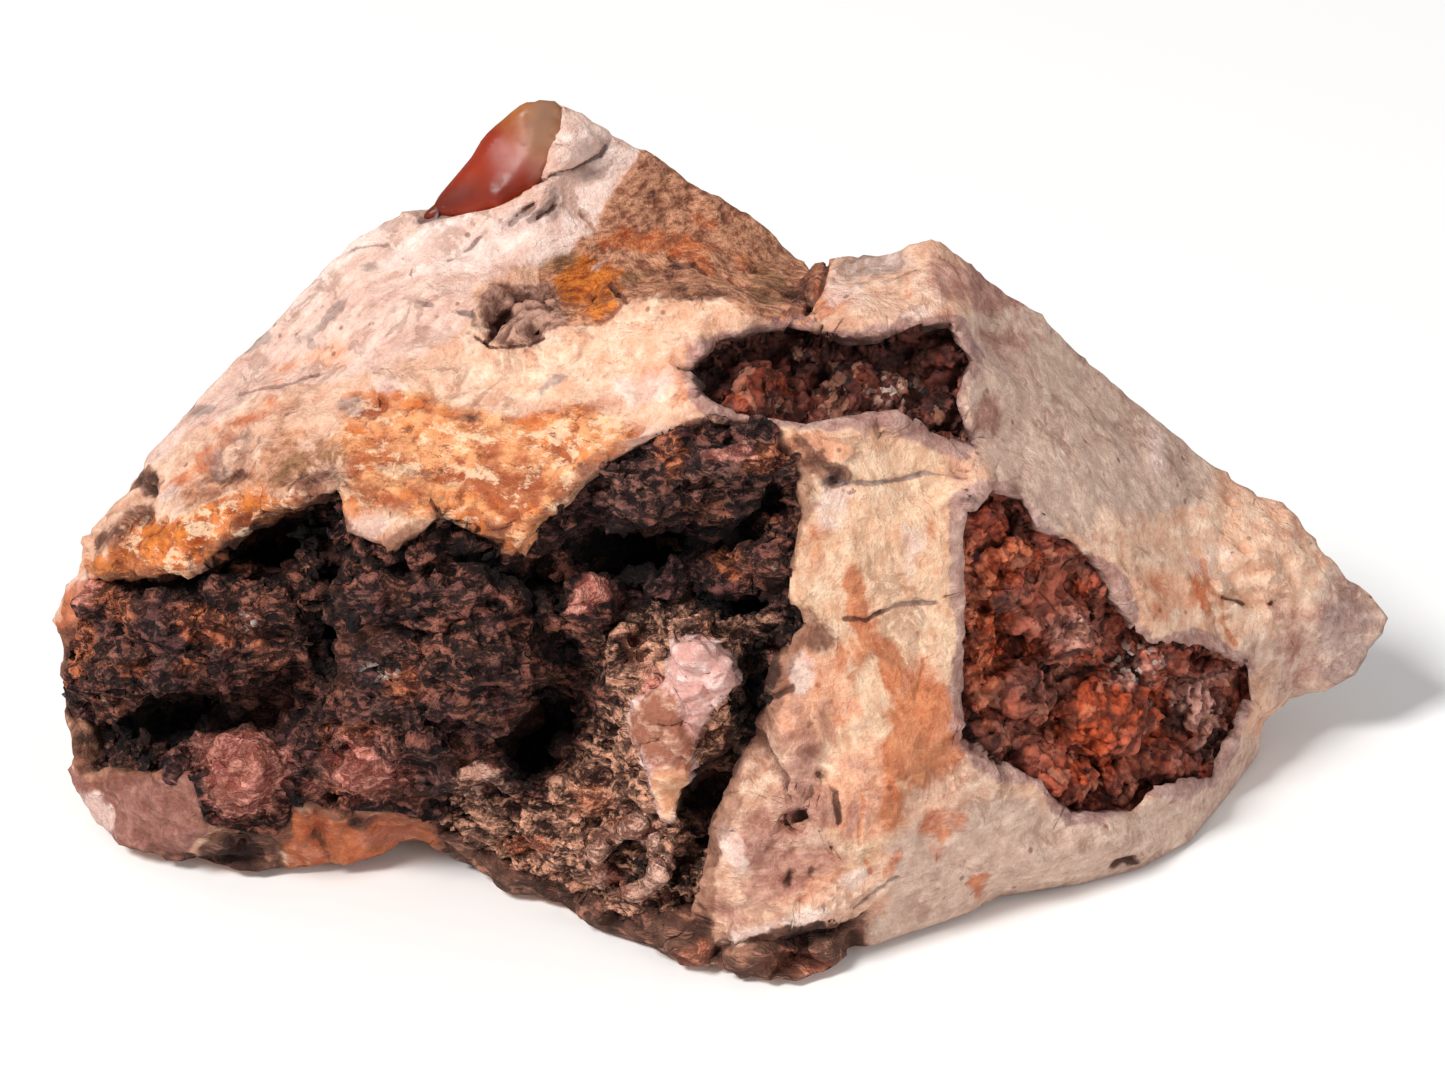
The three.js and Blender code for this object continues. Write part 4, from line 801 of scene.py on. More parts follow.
# Blocks that stand out of the brown crust with steep sides: (height, outline).
CRUST_BLOCKS = [
    (0.9, [
        (-18.7, -0.2), (-14, 0.4), (-10, -1), (-8, -3), (-8.8, -6), (-10, -9), (-14, -8.8), (-17.5, -7),
        (-18.7, -4),
    ]),
    (0.6, [(-9, 0), (-6, 3.4), (-2, 5.6), (2, 5.6), (4, 3), (3, 1.2), (-1, 0.4), (-4, 0.5)]),
    (0.8, [
        (-32, -3), (-26, -2.2), (-19.7, -2.6), (-19.8, -5.4), (-23.5, -7.4), (-29.5, -7.8), (-32, -7.4),
    ]),
    (0.5, [(-26, -10), (-23.5, -9.2), (-21.8, -11), (-22.4, -13.6), (-25, -13)]),
    (0.5, [(-1, -0.9), (1.5, -0.2), (3.2, -0.8), (3, -2.4), (1, -2.2), (-0.8, -2.2)]),
    (0.7, [(-7.6, -1.9), (-5.6, -1.8), (-5.3, -4), (-6.8, -4.6), (-8, -3.4)]),
    (0.6, [(-3.9, -1.5), (-2, -1.3), (-1.8, -3.2), (-3.8, -3.4)]),
    (0.5, [(-16, -9.5), (-10.8, -9.5), (-10, -11.4), (-14, -12.6), (-17, -11.6)]),
]

# Domes in the hollows' crusts: (across, up, radius).
HOLLOW_DOMES = [
    (14.3, -2.6, 1.3), (17, -4.4, 1.9), (15.1, -7.6, 1.6), (19.3, -8.7, 2.4), (21, -6.3, 1.3),
    (17.4, -12, 1.6), (14.9, -0.8, 1.1), (23.8, -8.4, 1.4), (22.1, -11, 1.4), (13, -5.4, 1),
    (16.2, -10.3, 1.4), (13.5, -10, 1.1), (18.8, -2.4, 0.9), (13.7, 1, 0.8), (24.9, -7, 0.8),
    (20, -12.2, 1.1), (12.9, -8, 0.7), (22.8, -6.4, 0.7), (1.6, 7.3, 1.7), (4, 8.8, 1.2), (6.8, 8, 1.2),
    (8.7, 7.7, 0.9), (10.7, 8.9, 1.2), (11, 6.6, 0.9), (3.8, 7.2, 0.8),
]

# Where the brown crust grew in rings: (across, up, radius).
SHELL = (-4.5, -16, 1.9)

# Thin lines: (width, the points that it passes).
CRACKS = [
    (0.24, [(5.4, 2.9), (7, 2.8), (8, 2.7), (9.2, 3), (10.2, 3.4), (11.5, 3.2), (12.4, 3.1)]),
    (0.2, [(8, -3.7), (9.2, -3.3), (10.8, -3.2)]),
    (0.26, [(-10.4, 15.9), (-9.4, 16.8)]),
    (0.28, [(-9.6, 16.1), (-8.8, 16.7), (-8.2, 17.1)]),
    (0.2, [(-15.8, 12.2), (-14, 11.6), (-12.3, 11.1)]),
    (0.16, [(-20.4, 13.6), (-18, 14.6), (-16.6, 14.8)]),
    (0.16, [(-13.6, 14), (-12.4, 14.7), (-11.6, 15.6)]),
    (0.16, [(-24, 7.4), (-22, 7.6), (-20, 8.2)]),
    (0.14, [(6.8, -18.4), (8.4, -17), (9.8, -16.6)]),
]
DARK_LINES = [
    (0.14, [(-10.2, 16.3), (-9.4, 16.9)]),
    (0.14, [(-9.2, 16.2), (-8.2, 16.9)]),
    (0.16, [(-12.2, 10), (-11.5, 9.5), (-10.2, 9.7), (-8.8, 10.1)]),
    (0.24, [(6.3, -3.9), (7.4, -4), (8.2, -3.6)]),
    (0.18, [(25.2, -2.9), (26.4, -3.3), (27.6, -3.2)]),
    (0.3, [(5, -11.7), (5.8, -12.5), (6, -14)]),
    (0.3, [(1.6, -8.8), (2.4, -7.8), (3.6, -7.3)]),
    (0.3, [(-5.4, 12.9), (-4.9, 12.2), (-4.5, 11.8)]),
    (0.22, [(-2, 13.7), (-1.2, 13.8), (-0.6, 13.5)]),
    (0.26, [(4.2, 11.2), (5.2, 12.8), (5.4, 14.2)]),
]
VEINS = [
    (0.3, [(-18.8, 7.2), (-17.4, 7.3), (-16, 7.2), (-14.5, 6.5), (-13, 6.2)]),
    (0.24, [(24.2, -1), (24.5, -2.2), (25.1, -3), (25.1, -4.2), (25.9, -5.2)]),
    (0.18, [(9.9, -4.6), (10.1, -6.2), (9.8, -8.1)]),
    (0.18, [(6.8, -11.4), (7.2, -13), (6.9, -15), (7.5, -16.6)]),
]
# Painted shadow: a dark line on the rock along the opal's lower edge and under the lump beside it, also
# dented in a little.
OPAL_RIM = [
    (0.4, [(-15, 16.1), (-13.4, 16.5), (-11.6, 16.9), (-10.2, 17.5)]),
    (0.15, [(-10.2, 17.5), (-8.8, 18.1), (-7.2, 18.5), (-6, 19.2), (-5.7, 19.7)]),
]
# The pale ridge between the slab and the tan facet.
PALE_EDGES = [
    (0.45, [
        (-9.6, 14.3), (-8.7, 15.1), (-7.3, 15.9), (-6.4, 16.9), (-5.8, 17.8), (-5, 18.7), (-4.1, 19.6),
    ]),
]


# ---------------------------------------------------------------- the rhyolite

SLAB_RUN = np.array([0.72, 0.25, 0.65])  # the way the slab's streaks run
SLAB_TURN = (0, -42, 14)  # in degrees, turns the X axis that way
UPRIGHT = np.array([0.1, 0, 1])  # the way the front's streaks run
LEVEL = (2.0, 1.6, 0.8)  # how a material's noise that runs level is stretched
OPAL_LIGHTENS = np.array([0.6, 0.8])  # the way the opal turns from red to amber
BED_TURNS = (5.2, 8.2)  # where along that way the opal's bed starts to turn, and where it ends
OPAL_TURNS = (8.2, 11.8)  # the same for the opal
DRIFT_SEEDS = (301, 311)
TIGHT, CROOKED = 0.4, 0.3  # how much of the drift crisp edges get, and cracks
RIM_FADE = (-1.1, -0.3)  # how far inside a hollow's outline the colour of its rim starts, and is full
CRUST_FADE = (-1.3, -0.1)  # the same for the stain around the brown crust
CRACK_GAPS = (-0.7, 0)  # the noise at which cracks have a gap, and at which they are whole
BARELY_SHOWN = 0.01  # enough for the bed under the opal to be cut finer, and too little to move it
ROCK_SWELL = 0.12  # how far the rock swells, to make up for its dents

# Patches where the camera sees them: (mask, outline, how far the edge drifts, its softness, strength).
ROCK_PATCHES = [
    ("slab", SLAB, TIGHT, 0.8, 1),
    ("tan", TAN_FACET, TIGHT, 0.25, 1),
    ("tan", LEFT_TAN, 1, 0.9, 0.65),
    ("pocket", POCKET, TIGHT, 0.5, 1),
    ("amber", AMBER, 1, 1, 1),
    ("amber", LEFT_STAIN, 1, 0.6, 0.55),
    ("ochre", STAIN, 1, 1.1, 1),
    ("ochre", LEFT_STAIN, 1, 0.6, 1),
    ("rust", LEFT_STAIN, 1, 0.6, 0.9),
    ("rust", ORANGE_FACET, 1, 0.7, 0.8),
    # The plum layer is the foot's pinkish colour darkened as painted shade, on facets that face down.
    ("plum_shade", ORANGE_FACET, 1, 0.7, 0.8),
    ("plum_shade", PINK_FOOT, 1, 0.6, 1),
    ("greige", RIGHT_SLOPE, 1, 1.4, 1),
    ("greige", LOW_RIGHT, 1, 1, 1),
    ("greige", RIGHT_TIP, 1, 1.6, 1),
    ("mauve", RIGHT_TIP, 1, 1.6, 0.5),
    ("mauve", LOW_FRONT, 1, 1.6, 0.52),
    ("peach", PEACH_PATCH, 1, 1.4, 1),
    ("peach", CREST, 1, 1, 0.8),
    ("white", RIGHT_PEAK, 1, 1.2, 0.3),
    ("brown", FOOT, 1, 0.8, 1),
    ("brown", BROWN_EDGE, 1, 0.6, 1),
    ("brown", UNDER_CRUST, 1, 0.6, 1),
    ("front", FRONT, 1, 1, 1),
]
# Patches elsewhere: (mask, a noise's size and seed, its values at the edge and inside, strength).
BACK_PATCHES = [
    ("slab", 14, 71, -0.1, 0.4, 0.8),
    ("greige", 11, 72, 0, 0.4, 0.8),
    ("ochre", 9, 73, 0.25, 0.6, 0.9),
    ("tan", 12, 74, 0.3, 0.5, 1),
]
# How much rougher than the bare rock each colour is, in its broad forms and then in its fine ones.
BROAD_ROUGHNESS = {"slab": -0.7, "front": -0.3, "greige": -0.6, "tan": -0.3, "ochre": 0.3, "brown": 0.8}
FINE_ROUGHNESS = {
    "slab": -0.8, "front": -0.3, "greige": -0.6, "tan": 0.2, "ochre": 0.6, "brown": 1, "pocket": 1.4,
}
# How far each of these lies below the rest of the rock.
ROCK_DENTS = {"opal_rim_shadow": 0.3, "cracks": 0.15, "dark_lines": 0.25, "veins": 0.08}

# What lies on the rhyolite, from the lowest up: (mask, its dark colour, its light one, strength).
ROCK_LAYERS = [
    ("slab", (208, 162, 146), (246, 214, 200), 0.9),
    ("greige", (192, 158, 142), (236, 208, 190), 0.85),
    ("front", (218, 160, 122), (254, 226, 194), 0.75),
    ("peach", (234, 174, 140), (254, 224, 198), 0.9),
    ("flush", (212, 128, 92), (250, 194, 160), 0.8),
    ("tan", (126, 66, 42), (224, 158, 120), 0.9),
    ("ochre", (164, 74, 30), (246, 168, 108), 0.88),
    # painted shade on the down-facing facets of the foot
    ("plum_shade", (112, 58, 52), (168, 110, 100), 0.9),
    ("rust", (178, 78, 36), (226, 138, 84), 0.8),
    ("amber", (146, 64, 18), (228, 130, 42), 0.92),
    ("olive", (100, 66, 44), (172, 126, 84), 0.85),
    ("mauve", (146, 88, 78), (214, 162, 144), 0.85),
    ("pocket", (92, 56, 47), (198, 150, 130), 0.95),
    ("grey", (142, 116, 110), (202, 176, 166), 0.8),
    ("white", (234, 196, 182), (250, 232, 224), 0.7),
    ("rim", (136, 92, 90), (208, 170, 164), 0.75),
    ("near_crust", (104, 60, 46), (170, 108, 80), 0.7),
    # painted shadow along the opal's lower edge and under the lump beside it
    ("opal_rim_shadow", (86, 58, 58), (160, 132, 128), 0.85),
    ("brown", (54, 29, 24), (164, 106, 84), 0.9),
    ("coral", (168, 92, 66), (226, 150, 122), 0.9),
    ("cracks", (122, 98, 94), (170, 146, 140), 0.75),
    ("dark_lines", (62, 34, 30), (120, 78, 64), 0.85),
    ("veins", (196, 104, 56), (226, 148, 102), 0.65),
    # painted shade in the deep holes
    ("hole_shade", (20, 10, 9), (60, 34, 30), 0.9),
    ("red_bed", (132, 44, 24), (176, 70, 40), 1.0),
    ("amber_bed", (176, 124, 72), (236, 206, 164), 1.0),
]
ROCK_DARK = (214, 158, 130)
ROCK_ROSY = (240, 196, 168)
ROCK_CREAM = (248, 218, 194)
# Painted shade: the colour that holes and cracks are darkened towards, where few rays get out.
ROCK_OCCLUSION_SHADE = (60, 28, 20)  # in holes and cracks
STAIN_GLOW = (226, 124, 56)
STAIN_CREAM = (254, 220, 184)
BLOTCH_COLOUR = (128, 70, 46)
FLECK_COLOUR = (120, 68, 46)
CRACK_COLOUR = (132, 82, 60)
# Painted shade in the creases of the rough brown places of the rock.
ROCK_CREASE_SHADE = (44, 22, 18)


def drift(points):
    """How far what is drawn on the stone is moved about, across and up, to give it natural edges."""
    shift = [0.9 * grain(points, 3, seed, 4) + 0.2 * hills(points, 0.4, seed + 7) for seed in DRIFT_SEEDS]
    return np.stack(shift, axis=1)


def weighted(masks, weights):
    """The sum of some masks, each times its weight."""
    return sum(weight * masks[name] for name, weight in weights.items())


def rock_masks(skin):
    """How strong each of the rhyolite's colours is at each point: from 1 on it covers the point."""
    places, shift = looks_at(skin.points), drift(skin.points)
    loose, tight, crooked = places + shift, places + TIGHT * shift, places + CROOKED * shift
    masks = {mask: np.zeros(len(places)) for mask, _, _, _ in ROCK_LAYERS}
    for mask, outline, drifting, soft, strength in ROCK_PATCHES:
        masks[mask] = most(masks[mask], strength * region(places + drifting * shift, outline, soft))
    for mask, ovals in ROCK_SPOTS.items():
        masks[mask] = most(masks[mask], spots(loose, ovals))
    masks["hole_shade"] = spots(loose, HOLE_SHADE_SPOTS)
    masks["white"] = most(masks["white"], 0.9 * lines(tight, PALE_EDGES))
    masks["opal_rim_shadow"] = lines(places, OPAL_RIM)
    broken = smoothstep(hills(skin.points, size=1.3, seed=75), *CRACK_GAPS)
    for mask, strokes in (("cracks", CRACKS), ("dark_lines", DARK_LINES), ("veins", VEINS)):
        masks[mask] = lines(crooked, strokes) * broken
    hollows = most(in_outline(loose, TRIANGLE_OUTLINE), in_outline(loose, UPPER_OUTLINE))
    masks["rim"] = smoothstep(hollows, *RIM_FADE)
    masks["near_crust"] = smoothstep(in_outline(loose, BROWN_CRUST_OUTLINE), *CRUST_FADE)
    bed = (1 - skin.shown) * region(places, OPAL_OUTLINE, 0.8)
    masks["amber_bed"] = bed * smoothstep(places @ OPAL_LIGHTENS, *BED_TURNS)
    masks["red_bed"] = bed - masks["amber_bed"]
    masks = {mask: share * skin.seen for mask, share in masks.items()}
    for mask, size, seed, low, high, strength in BACK_PATCHES:
        patch = strength * (1 - skin.seen) * smoothstep(hills(skin.points, size, seed), low, high)
        masks[mask] = most(masks[mask], patch)
    return masks


def rough_rhyolite():
    """The rock with its broad forms."""
    skin = skin_of("rhyolite_matrix", fill=0)
    under_opal = in_outline(looks_at(skin.points), OPAL_OUTLINE) > -1
    skin.shown = np.where(under_opal, np.maximum(skin.shown, BARELY_SHOWN), skin.shown)
    skin.refine(fine=1.2, coarse=1.6)
    skin.relax(rounds=2)
    skin.mark_seen()
    skin.refine(fine=0.6, coarse=1.4)
    points, masks = skin.points, rock_masks(skin)
    forms = 0.25 * grain(points, size=4, seed=11) + 0.2 * chips(points, size=3.6, seed=12)
    forms += (0.5 - 0.4 * masks["tan"]) * (ridges(levelled(points), size=2.6, seed=13) - 0.5)
    lumps = 0.6 * spots(looks_at(points) + drift(points), RAISED_SPOTS) * skin.seen
    skin.push((1 + weighted(masks, BROAD_ROUGHNESS)) * forms + lumps + ROCK_SWELL)
    return skin


def fine_rhyolite(skin):
    """Works the rock's fine forms in, and returns its masks."""
    skin.refine(fine=0.48, coarse=1.4)
    skin.refine_along(CRACKS + DARK_LINES + VEINS + OPAL_RIM, fine=0.18)
    points, masks = skin.points, rock_masks(skin)
    rough = 1 + weighted(masks, FINE_ROUGHNESS)
    relief = 0.5 * grain(points, size=1, seed=23) + 2 * (ridges(levelled(points), size=1.1, seed=24) - 0.5)
    relief *= rough
    relief += masks["slab"] * grain(squeezed(points, SLAB_RUN, 0.2), size=0.9, seed=21)
    relief += masks["front"] * grain(squeezed(points, UPRIGHT, 0.3), size=1, seed=22)
    relief += 3 * masks["pocket"] * (knobs(points, size=1, seed=27) - 0.5)
    dents = 0.28 * rough * pores(points, size=2.2, seed=26, share=0.35) + weighted(masks, ROCK_DENTS)
    dents += 0.9 * spots(looks_at(points) + drift(points), PITS) * skin.seen
    skin.push(0.1 * relief - dents)
    masks["relief"] = 0.5 + 0.25 * relief - dents
    return masks


def rhyolite_material():
    paint = Paint("rhyolite", Roughness=0.82, Specular_IOR_Level=0.3)
    broad = paint.noise(7)
    patchy = paint.noise(2.4, 6, 0.65, warp=0.4)
    fine = paint.noise(0.8, 6, 0.75)
    dust = paint.noise(0.25, 3, 0.8)
    flat = paint.noise(0.55, 6, 0.8, stretch=LEVEL)
    scales = paint.noise(0.36, 4, 0.72, stretch=LEVEL)
    cracked = paint.creases(2.6, 6, 0.6)
    flaky = paint.creases(1, stretch=LEVEL, sharp=0.2)
    relief, stained, tan = (paint.attribute(name) for name in ("relief", "ochre", "tan"))
    crusted = paint.step(paint.attribute("brown"), 0.75, 1.0)

    streaks = paint.step(paint.noise(0.8, 6, 0.72, stretch=(3.5, 1, 1), turn=SLAB_TURN), 0.34, 0.62)
    upright = paint.step(paint.noise(0.7, 6, 0.72, stretch=(1, 1, 2.5)), 0.34, 0.64)
    # These mixes take in the relief too: low places get the darker colour as painted shade, and high ones
    # the lighter as painted highlight.
    level = paint.step(paint.sum((0.6, flat), (0.3, relief)), 0.36, 0.54)
    scaly = paint.step(paint.sum((0.8, scales), (0.15, relief)), 0.36, 0.6)
    paint.mottle_and_shade = paint.step(paint.sum((0.5, fine), (0.3, relief), (0.1, flaky)), 0.28, 0.62)
    mottles = ("slab", 0.6, streaks), ("front", 0.5, upright), ("ochre", 0.7, level), ("tan", 1, scaly)
    for mask, strength, own in mottles:
        paint.mottle_and_shade = paint.blend(paint.times(strength, paint.attribute(mask)), paint.mottle_and_shade, own)

    light = paint.mix(paint.step(broad, 0.35, 0.65), ROCK_ROSY, ROCK_CREAM)
    paint.colour = paint.mix(paint.mottle_and_shade, ROCK_DARK, light)
    paint.cover_layers(ROCK_LAYERS, patchy)
    glow = paint.step(paint.noise(1.6, 5, 0.7, stretch=LEVEL), 0.52, 0.6)
    paint.cover(paint.times(stained, glow), STAIN_GLOW, 0.6)
    cream = paint.step(paint.noise(1.5, 5, 0.75, stretch=LEVEL), 0.52, 0.6)
    paint.cover(paint.times(stained, cream), STAIN_CREAM, 0.7)
    spotted = paint.sum(0.25, (0.6, stained), (0.45, tan))
    paint.cover(spotted, BLOTCH_COLOUR, paint.step(flat, 0.44, 0.36))
    rare = paint.step(paint.noise(2.6, 2), 0.5, 0.62)
    paint.cover(paint.times(rare, paint.step(paint.cells(1.1), 0.2, 0.08)), FLECK_COLOUR, 0.7)
    broken = paint.step(paint.noise(4, 2), 0.48, 0.6)
    paint.cover(paint.times(broken, paint.step(cracked, 0.5, 0.1)), CRACK_COLOUR, 0.4)
    # Painted shade in the creases of the rough brown places.
    paint.cover(paint.times(crusted, paint.step(flaky, 0.6, 0.1)), ROCK_CREASE_SHADE, 0.6)
    # Painted shade in holes and cracks, where the open attribute is low.
    paint.cover(paint.step(paint.attribute("open"), 0.75, 0.2), ROCK_OCCLUSION_SHADE, 0.7)
    paint.tint(fine, 0.9, 1.1)
    paint.tint(dust, 0.88, 1.12)
    sandy, spongy = paint.times(tan, scales), paint.times(crusted, flaky)
    heights = (0.28, fine), (0.1, dust), (0.05, flaky), (0.07, cracked), (0.3, sandy), (0.2, spongy)
    return paint.finish(*heights)


# ---------------------------------------------------------------- the brown crust

BEDDING = np.array([0.3, 0.5, 1.0])  # scales points, so that noise made from them lies in level beds
CRUST_SINK = 0.1  # how far the crust sinks, to make up for its knobs
NODULE_RISE = (-0.3, 1.2)  # how far inside its outline the nodule starts to rise, and is at its full height
SHELL_RINGS = [(0.85, 0.22), (0.45, 0.2)]  # the rim and the groove: (where, width) against the radius

# What lies on the brown crust, from the lowest up: (mask, its dark colour, its light one, strength).
CRUST_LAYERS = [
    ("tan", (60, 30, 22), (248, 182, 150), 0.9),
    ("lit", (50, 29, 28), (160, 112, 98), 0.5),
    ("orange", (124, 54, 32), (214, 126, 86), 0.8),
    ("pink", (150, 74, 63), (232, 156, 139), 0.88),
    ("shell", (158, 98, 80), (232, 186, 166), 0.85),
    ("pale", (216, 162, 152), (254, 234, 228), 0.95),
    ("flesh", (150, 92, 70), (248, 206, 180), 0.95),
    ("cream", (206, 146, 108), (248, 212, 178), 0.9),
    # painted shade in the holes and in the shell's groove
    ("hole_shade", (10, 5, 5), (46, 26, 25), 0.9),
]
CRUST_DARK = (22, 11, 11)
CRUST_MAUVE = (108, 66, 64)
CRUST_RUSTY = (154, 93, 76)
CRUST_GRAIN = (176, 122, 104)
CRUST_BLOCK = (156, 92, 68)
# Painted shade in the creases of the crust.
CRUST_CREASE_SHADE = (24, 12, 11)
# Painted shade: the colour that the crust's holes and cracks are darkened towards.
CRUST_OCCLUSION_SHADE = (12, 7, 7)
# painted glints
CRUST_SPARKLE = (226, 206, 196)


def off_middle(places, across, up, radius):
    """How far each place is from a middle, against a radius."""
    return np.hypot(places[:, 0] - across, places[:, 1] - up) / radius


def shell_rings(places):
    """Soft rings around the shell's middle: its raised rim, and the groove inside the rim."""
    away = off_middle(places, *SHELL)
    return [np.exp(-(((away - middle) / width) ** 2)) for middle, width in SHELL_RINGS]


def crust_masks(skin):
    """How strong each of the brown crust's colours is at each point."""
    places, shift = looks_at(skin.points), drift(skin.points)
    loose, tight = places + shift, places + TIGHT * shift
    rim, groove = shell_rings(tight)
    nodule = region(tight, NODULE, 0.4)
    return {
        "tan": region(loose, TAN_CRUST, 1.1),
        "lit": region(loose, LIT_CRUST, 0.8),
        "orange": spots(loose, CRUST_ORANGE_SPOTS),
        "pink": spots(loose, CRUST_PINK_SPOTS),
        "pale": region(tight, NODULE, 0.3),
        "flesh": nodule * spots(loose, NODULE_FLESH_SPOTS),
        "cream": nodule * spots(loose, NODULE_CREAM_SPOTS),
        "shell": most(1.2 * rim, spots(loose, FLAKE_SPOTS)),
        # painted shade in the holes, and in the shell's groove
        "hole_shade": most(spots(loose, HOLE_SHADE_SPOTS), groove),
        "sparkle": spots(places, SPARKLE_SPOTS),
    }


def crust_calm(masks):
    """How rough each place is: 1 on the bare crust, and less on the smooth lumps."""
    return 1 - 0.6 * masks["pale"] - 0.45 * np.minimum(masks["pink"], 1) * (1 - masks["pale"])


def rough_crust():
    """The brown crust with its broad forms: knobs, chips, beds, blocks, deep holes and the pale nodule."""
    skin = skin_of("brown_crust")
    skin.refine(fine=0.9)
    skin.relax(rounds=2)
    skin.mark_seen()
    skin.refine(fine=0.5, coarse=0.9)
    points, masks = skin.points, crust_masks(skin)
    tight = looks_at(points) + TIGHT * drift(points)
    forms = 0.5 * (knobs(points, size=3.4, seed=31) - 0.6) + 0.5 * chips(points, size=2.2, seed=32)
    forms += 0.4 * hills(points * BEDDING, size=1.1, seed=30)
    forms += 1.1 * (ridges(levelled(points), size=1.9, seed=33) - 0.5)
    lumpy = 0.7 + 0.6 * knobs(points, size=1.6, seed=38)
    nodule = 1.1 * lumpy * smoothstep(in_outline(tight, NODULE), *NODULE_RISE)
    blocks = sum(height * region(tight, outline, 0.3) for height, outline in CRUST_BLOCKS)
    # The ovals that paint shade into the holes also sink the crust there.
    holes = 0.8 * np.minimum(masks["hole_shade"], 1)
    skin.push(crust_calm(masks) * forms + nodule + blocks - holes - CRUST_SINK)
    return skin


def fine_crust(skin):
    """Works the brown crust's fine forms in, and returns its masks."""
    skin.refine(fine=0.3, coarse=0.8)
    points, masks = skin.points, crust_masks(skin)
    relief = 2.4 * (ridges(levelled(points), size=0.9, seed=34) - 0.5)
    relief += 0.5 * chips(points, size=0.8, seed=35)
    dents = 0.5 * pores(points, size=1.5, seed=37, share=0.45, width=0.4)
    rim, groove = shell_rings(looks_at(points) + CROOKED * drift(points))
    skin.push(crust_calm(masks) * (0.2 * relief - dents) + 0.6 * rim - 0.4 * groove)
    masks["block"] = knob_dice(points, size=1.5, seed=33)
    masks["relief"] = 0.5 + 0.3 * relief - dents
    return masks


def sparkles(paint):
    """Painted glints: pale dots where the sparkle mask is high."""
    strewn = paint.step(paint.cells(0.3, "Color"), 0.68, 0.72)
    return paint.times(paint.attribute("sparkle"), strewn)


def crust_material():
    paint = Paint("brown_crust", Roughness=0.85, Specular_IOR_Level=0.25)
    broad = paint.noise(5)
    patchy = paint.noise(1.8, 6, 0.7, warp=0.5)
    fine = paint.noise(0.5, 5, 0.75, stretch=LEVEL)
    dust = paint.noise(0.18, 2)
    bare = paint.step(paint.attribute("pale"), 1.2, 0.1)
    spongy = paint.times(bare, paint.creases(0.9, 4, 0.6, sharp=0.15, stretch=LEVEL))
    crinkled = paint.times(bare, paint.creases(0.45, 3, 0.6, sharp=0.15))

    # The mix takes in the relief and the creases: low places and creases get the darker colour as painted
    # shade.
    lie = paint.sum((0.45, fine), (0.25, paint.attribute("relief")), (0.12, spongy), (0.08, crinkled))
    paint.mottle_and_shade = paint.step(lie, 0.32, 0.57)
    light = paint.mix(paint.step(broad, 0.38, 0.62), CRUST_MAUVE, CRUST_RUSTY)
    paint.colour = paint.mix(paint.mottle_and_shade, CRUST_DARK, light)
    paint.cover_layers(CRUST_LAYERS, patchy)
    paint.cover(paint.times(bare, paint.step(paint.cells(0.5, "Color"), 0.7, 0.8)), CRUST_GRAIN, 0.3)
    paint.cover(paint.times(bare, paint.step(paint.attribute("block"), 0.8, 0.9)), CRUST_BLOCK, 0.3)
    coloured = paint.sum((0.5, paint.attribute("tan")), (0.8, paint.attribute("pink")))
    # Painted shade in the crust's creases, less where it is tan or pink.
    deep = paint.times(bare, paint.step(paint.sum((0.8, spongy), (0.2, crinkled)), 0.5, 0.1))
    paint.cover(deep, CRUST_CREASE_SHADE, paint.step(coloured, 1.2, 0.0, 0.75))
    # Painted shade where few rays get out.
    paint.cover(paint.step(paint.attribute("open"), 0.6, 0.1), CRUST_OCCLUSION_SHADE, 0.85)
    paint.tint(dust, 0.85, 1.15)
    paint.cover(sparkles(paint), CRUST_SPARKLE)
    return paint.finish((0.16, fine), (0.08, dust), (0.2, spongy), (0.08, crinkled))


# ---------------------------------------------------------------- the crusts that line the hollows

KNOB_SIZE, SMALL_KNOB_SIZE = 1.8, 0.8
HOLLOW_SINK = 0.4  # how far the crusts sink, to make up for their domes
EDGE_FADE = (1.6, 0.2)  # how far inside a hollow's outline the colour of its edge starts, and is full
# The gap layer is painted shade in the creases between the knobs.
GAP_FADE = (0.5, 0.15)  # the height of the knobs at which the colour of the gaps starts, and is full

# What lies on the hollows' crusts, from the lowest up: (mask, its dark colour, its light one, strength).
HOLLOW_LAYERS = [
    ("orange", (114, 38, 15), (184, 78, 38), 0.85),
    ("grey", (86, 44, 34), (180, 112, 96), 0.8),
    ("lit", (160, 68, 42), (246, 148, 104), 0.8),
    ("ash", (124, 78, 68), (222, 168, 152), 0.8),
    ("edge", (66, 32, 28), (164, 102, 90), 0.35),
    # painted shade between the knobs
    ("gap", (26, 10, 8), (72, 30, 22), 0.6),
    # painted shade in the deep holes
    ("hole_shade", (16, 7, 6), (50, 24, 22), 0.9),
]
# A crust's own dark and light colours, and the colour of the odd knob.
TRIANGLE_COLOURS = (92, 34, 22), (198, 92, 62), (170, 98, 78)
UPPER_COLOURS = (26, 9, 7), (94, 40, 29), (116, 58, 42)
HOLLOWS = [  # (node, outline, seed, name of its material, its colours)
    ("triangle_hollow_crust", TRIANGLE_OUTLINE, 40, "red_crust", TRIANGLE_COLOURS),
    ("upper_hollow_crust", UPPER_OUTLINE, 60, "dark_red_crust", UPPER_COLOURS),
]
HOLLOW_GRAIN = (200, 138, 112)
# Painted shade: the colour that the hollows' recesses are darkened towards.
HOLLOW_OCCLUSION_SHADE = (24, 10, 9)
# painted glints
HOLLOW_SPARKLE = (212, 186, 172)


